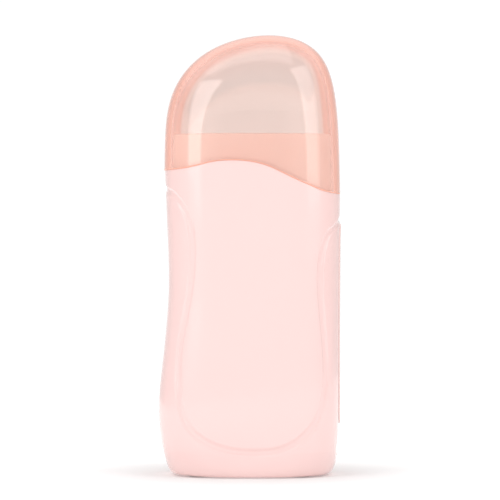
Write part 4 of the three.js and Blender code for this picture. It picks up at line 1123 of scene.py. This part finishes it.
# painted light: the floor is given emission under the object, where no lamp reaches, which lifts its shadow, and again
# towards its far edge
f_flat = floor_mat.nt.nodes.new("ShaderNodeVectorMath")
f_flat.operation = "MULTIPLY"
f_flat.inputs[1].default_value = (1 / 0.034, 1 / 0.024, 0)
floor_mat.nt.links.new(floor_mat.vec, f_flat.inputs[0])
f_far = floor_mat.nt.nodes.new("ShaderNodeVectorMath")
f_far.operation = "LENGTH"
floor_mat.nt.links.new(floor_mat.vec, f_far.inputs[0])
f_near = floor_mat.nt.nodes.new("ShaderNodeVectorMath")
f_near.operation = "LENGTH"
floor_mat.nt.links.new(f_flat.outputs[0], f_near.inputs[0])
painted_fill_strength = None
for source, a, b, lo, hi in ((f_near, 0.75, 1.2, 0.26, 0.0), (f_far, 0.025, 0.11, 0.0, 0.26)):
    glow = floor_mat.nt.nodes.new("ShaderNodeMapRange")
    glow.interpolation_type = "SMOOTHSTEP"
    for key, v in (("From Min", a), ("From Max", b), ("To Min", lo), ("To Max", hi)):
        glow.inputs[key].default_value = v
    floor_mat.nt.links.new(source.outputs["Value"], glow.inputs["Value"])
    if painted_fill_strength is None:
        painted_fill_strength = glow.outputs["Result"]
    else:
        add = floor_mat.nt.nodes.new("ShaderNodeMath")
        floor_mat.nt.links.new(painted_fill_strength, add.inputs[0])
        floor_mat.nt.links.new(glow.outputs["Result"], add.inputs[1])
        painted_fill_strength = add.outputs[0]
# painted fill light: the floor's emission strength, laid by position
floor_mat.nt.links.new(painted_fill_strength, floor_mat.bsdf.inputs["Emission Strength"])
floor_mat.bsdf.inputs["Emission Color"].default_value = (1, 1, 1, 1)
floor_mat.bsdf.inputs["Specular IOR Level"].default_value = 0.0
rim_pts = circle(900, 96)
floor = make("floor", np.concatenate([np.zeros((1, 3)), place(rim_pts, "z", 0.0)]), [(0, 1 + i, 1 + (i + 1) % 96) for i in range(96)], smooth=False, clean=False)
if floor.data.polygons[0].normal.z < 0:
    floor.data.flip_normals()
floor.data.materials.append(floor_mat.mat)

# the room: a bright sweep behind, dim sides and front, a bright ceiling
world = bpy.data.worlds.new("studio")
bpy.context.scene.world = world
world.use_nodes = True
wt = world.node_tree
back = wt.nodes["Background"]
back.inputs["Color"].default_value = (1, 1, 1, 1)


def w_math(op, a, b):
    m = wt.nodes.new("ShaderNodeMath")
    m.operation = op
    for i, v in enumerate((a, b)):
        if isinstance(v, (int, float)):
            m.inputs[i].default_value = v
        else:
            wt.links.new(v, m.inputs[i])
    return m.outputs[0]


def w_range(socket, a, b, lo=0.0, hi=1.0, kind="LINEAR"):
    n = wt.nodes.new("ShaderNodeMapRange")
    n.interpolation_type = kind
    for key, v in (("From Min", a), ("From Max", b), ("To Min", lo), ("To Max", hi)):
        n.inputs[key].default_value = v
    wt.links.new(socket, n.inputs["Value"])
    return n.outputs["Result"]


w_coord = wt.nodes.new("ShaderNodeTexCoord")
w_split = wt.nodes.new("ShaderNodeSeparateXYZ")
wt.links.new(w_coord.outputs["Generated"], w_split.inputs[0])
w_ramp = wt.nodes.new("ShaderNodeValToRGB")
stops = [(-1.0, 0.57), (-0.8, 0.6), (-0.5, 0.63), (-0.2, 0.5), (0.1, 0.4), (0.5, 0.4), (0.85, 0.58), (1.0, 0.98)]
w_ramp.color_ramp.interpolation = "LINEAR"
for i, (pos, level) in enumerate(stops):
    e = w_ramp.color_ramp.elements[i] if i < 2 else w_ramp.color_ramp.elements.new(1.0)
    e.position = (pos + 1) / 2
    e.color = (level, level, level, 1)
wt.links.new(w_range(w_split.outputs["Y"], -1, 1), w_ramp.inputs["Fac"])
w_high = w_range(w_split.outputs["Z"], 0.35, 0.75, kind="SMOOTHSTEP")
w_ceiling = w_range(w_split.outputs["Y"], -0.25, 0.25, 1.05, 1.05)
w_mixed = w_math("ADD", w_math("MULTIPLY", w_math("SUBTRACT", 1.0, w_high), w_ramp.outputs["Color"]), w_math("MULTIPLY", w_high, w_ceiling))
w_path = wt.nodes.new("ShaderNodeLightPath")
# seen directly the surround is white; through the clear walls the sheet straight behind is a little darker than its flanks
w_mix = wt.nodes.new("ShaderNodeMix")
wt.links.new(w_path.outputs["Is Transmission Ray"], w_mix.inputs["Factor"])
wt.links.new(w_mixed, w_mix.inputs["A"])
w_flank = w_range(w_math("ABSOLUTE", w_split.outputs["X"], 0.0), 0.17, 0.5, 0.0, 0.33, kind="SMOOTHSTEP")
w_above = w_range(w_math("ABSOLUTE", w_split.outputs["Z"], 0.0), 0.2, 0.6, 0.8, 0.85, kind="SMOOTHSTEP")
w_front = w_range(w_split.outputs["Y"], -0.3, 0.1, 0.08, 0.0, kind="SMOOTHSTEP")
wt.links.new(w_math("ADD", w_math("ADD", w_flank, w_front), w_above), w_mix.inputs["B"])
w_seen = wt.nodes.new("ShaderNodeMix")
wt.links.new(w_path.outputs["Is Camera Ray"], w_seen.inputs["Factor"])
wt.links.new(w_mix.outputs["Result"], w_seen.inputs["A"])
w_seen.inputs["B"].default_value = 1.04
wt.links.new(w_seen.outputs["Result"], back.inputs["Strength"])
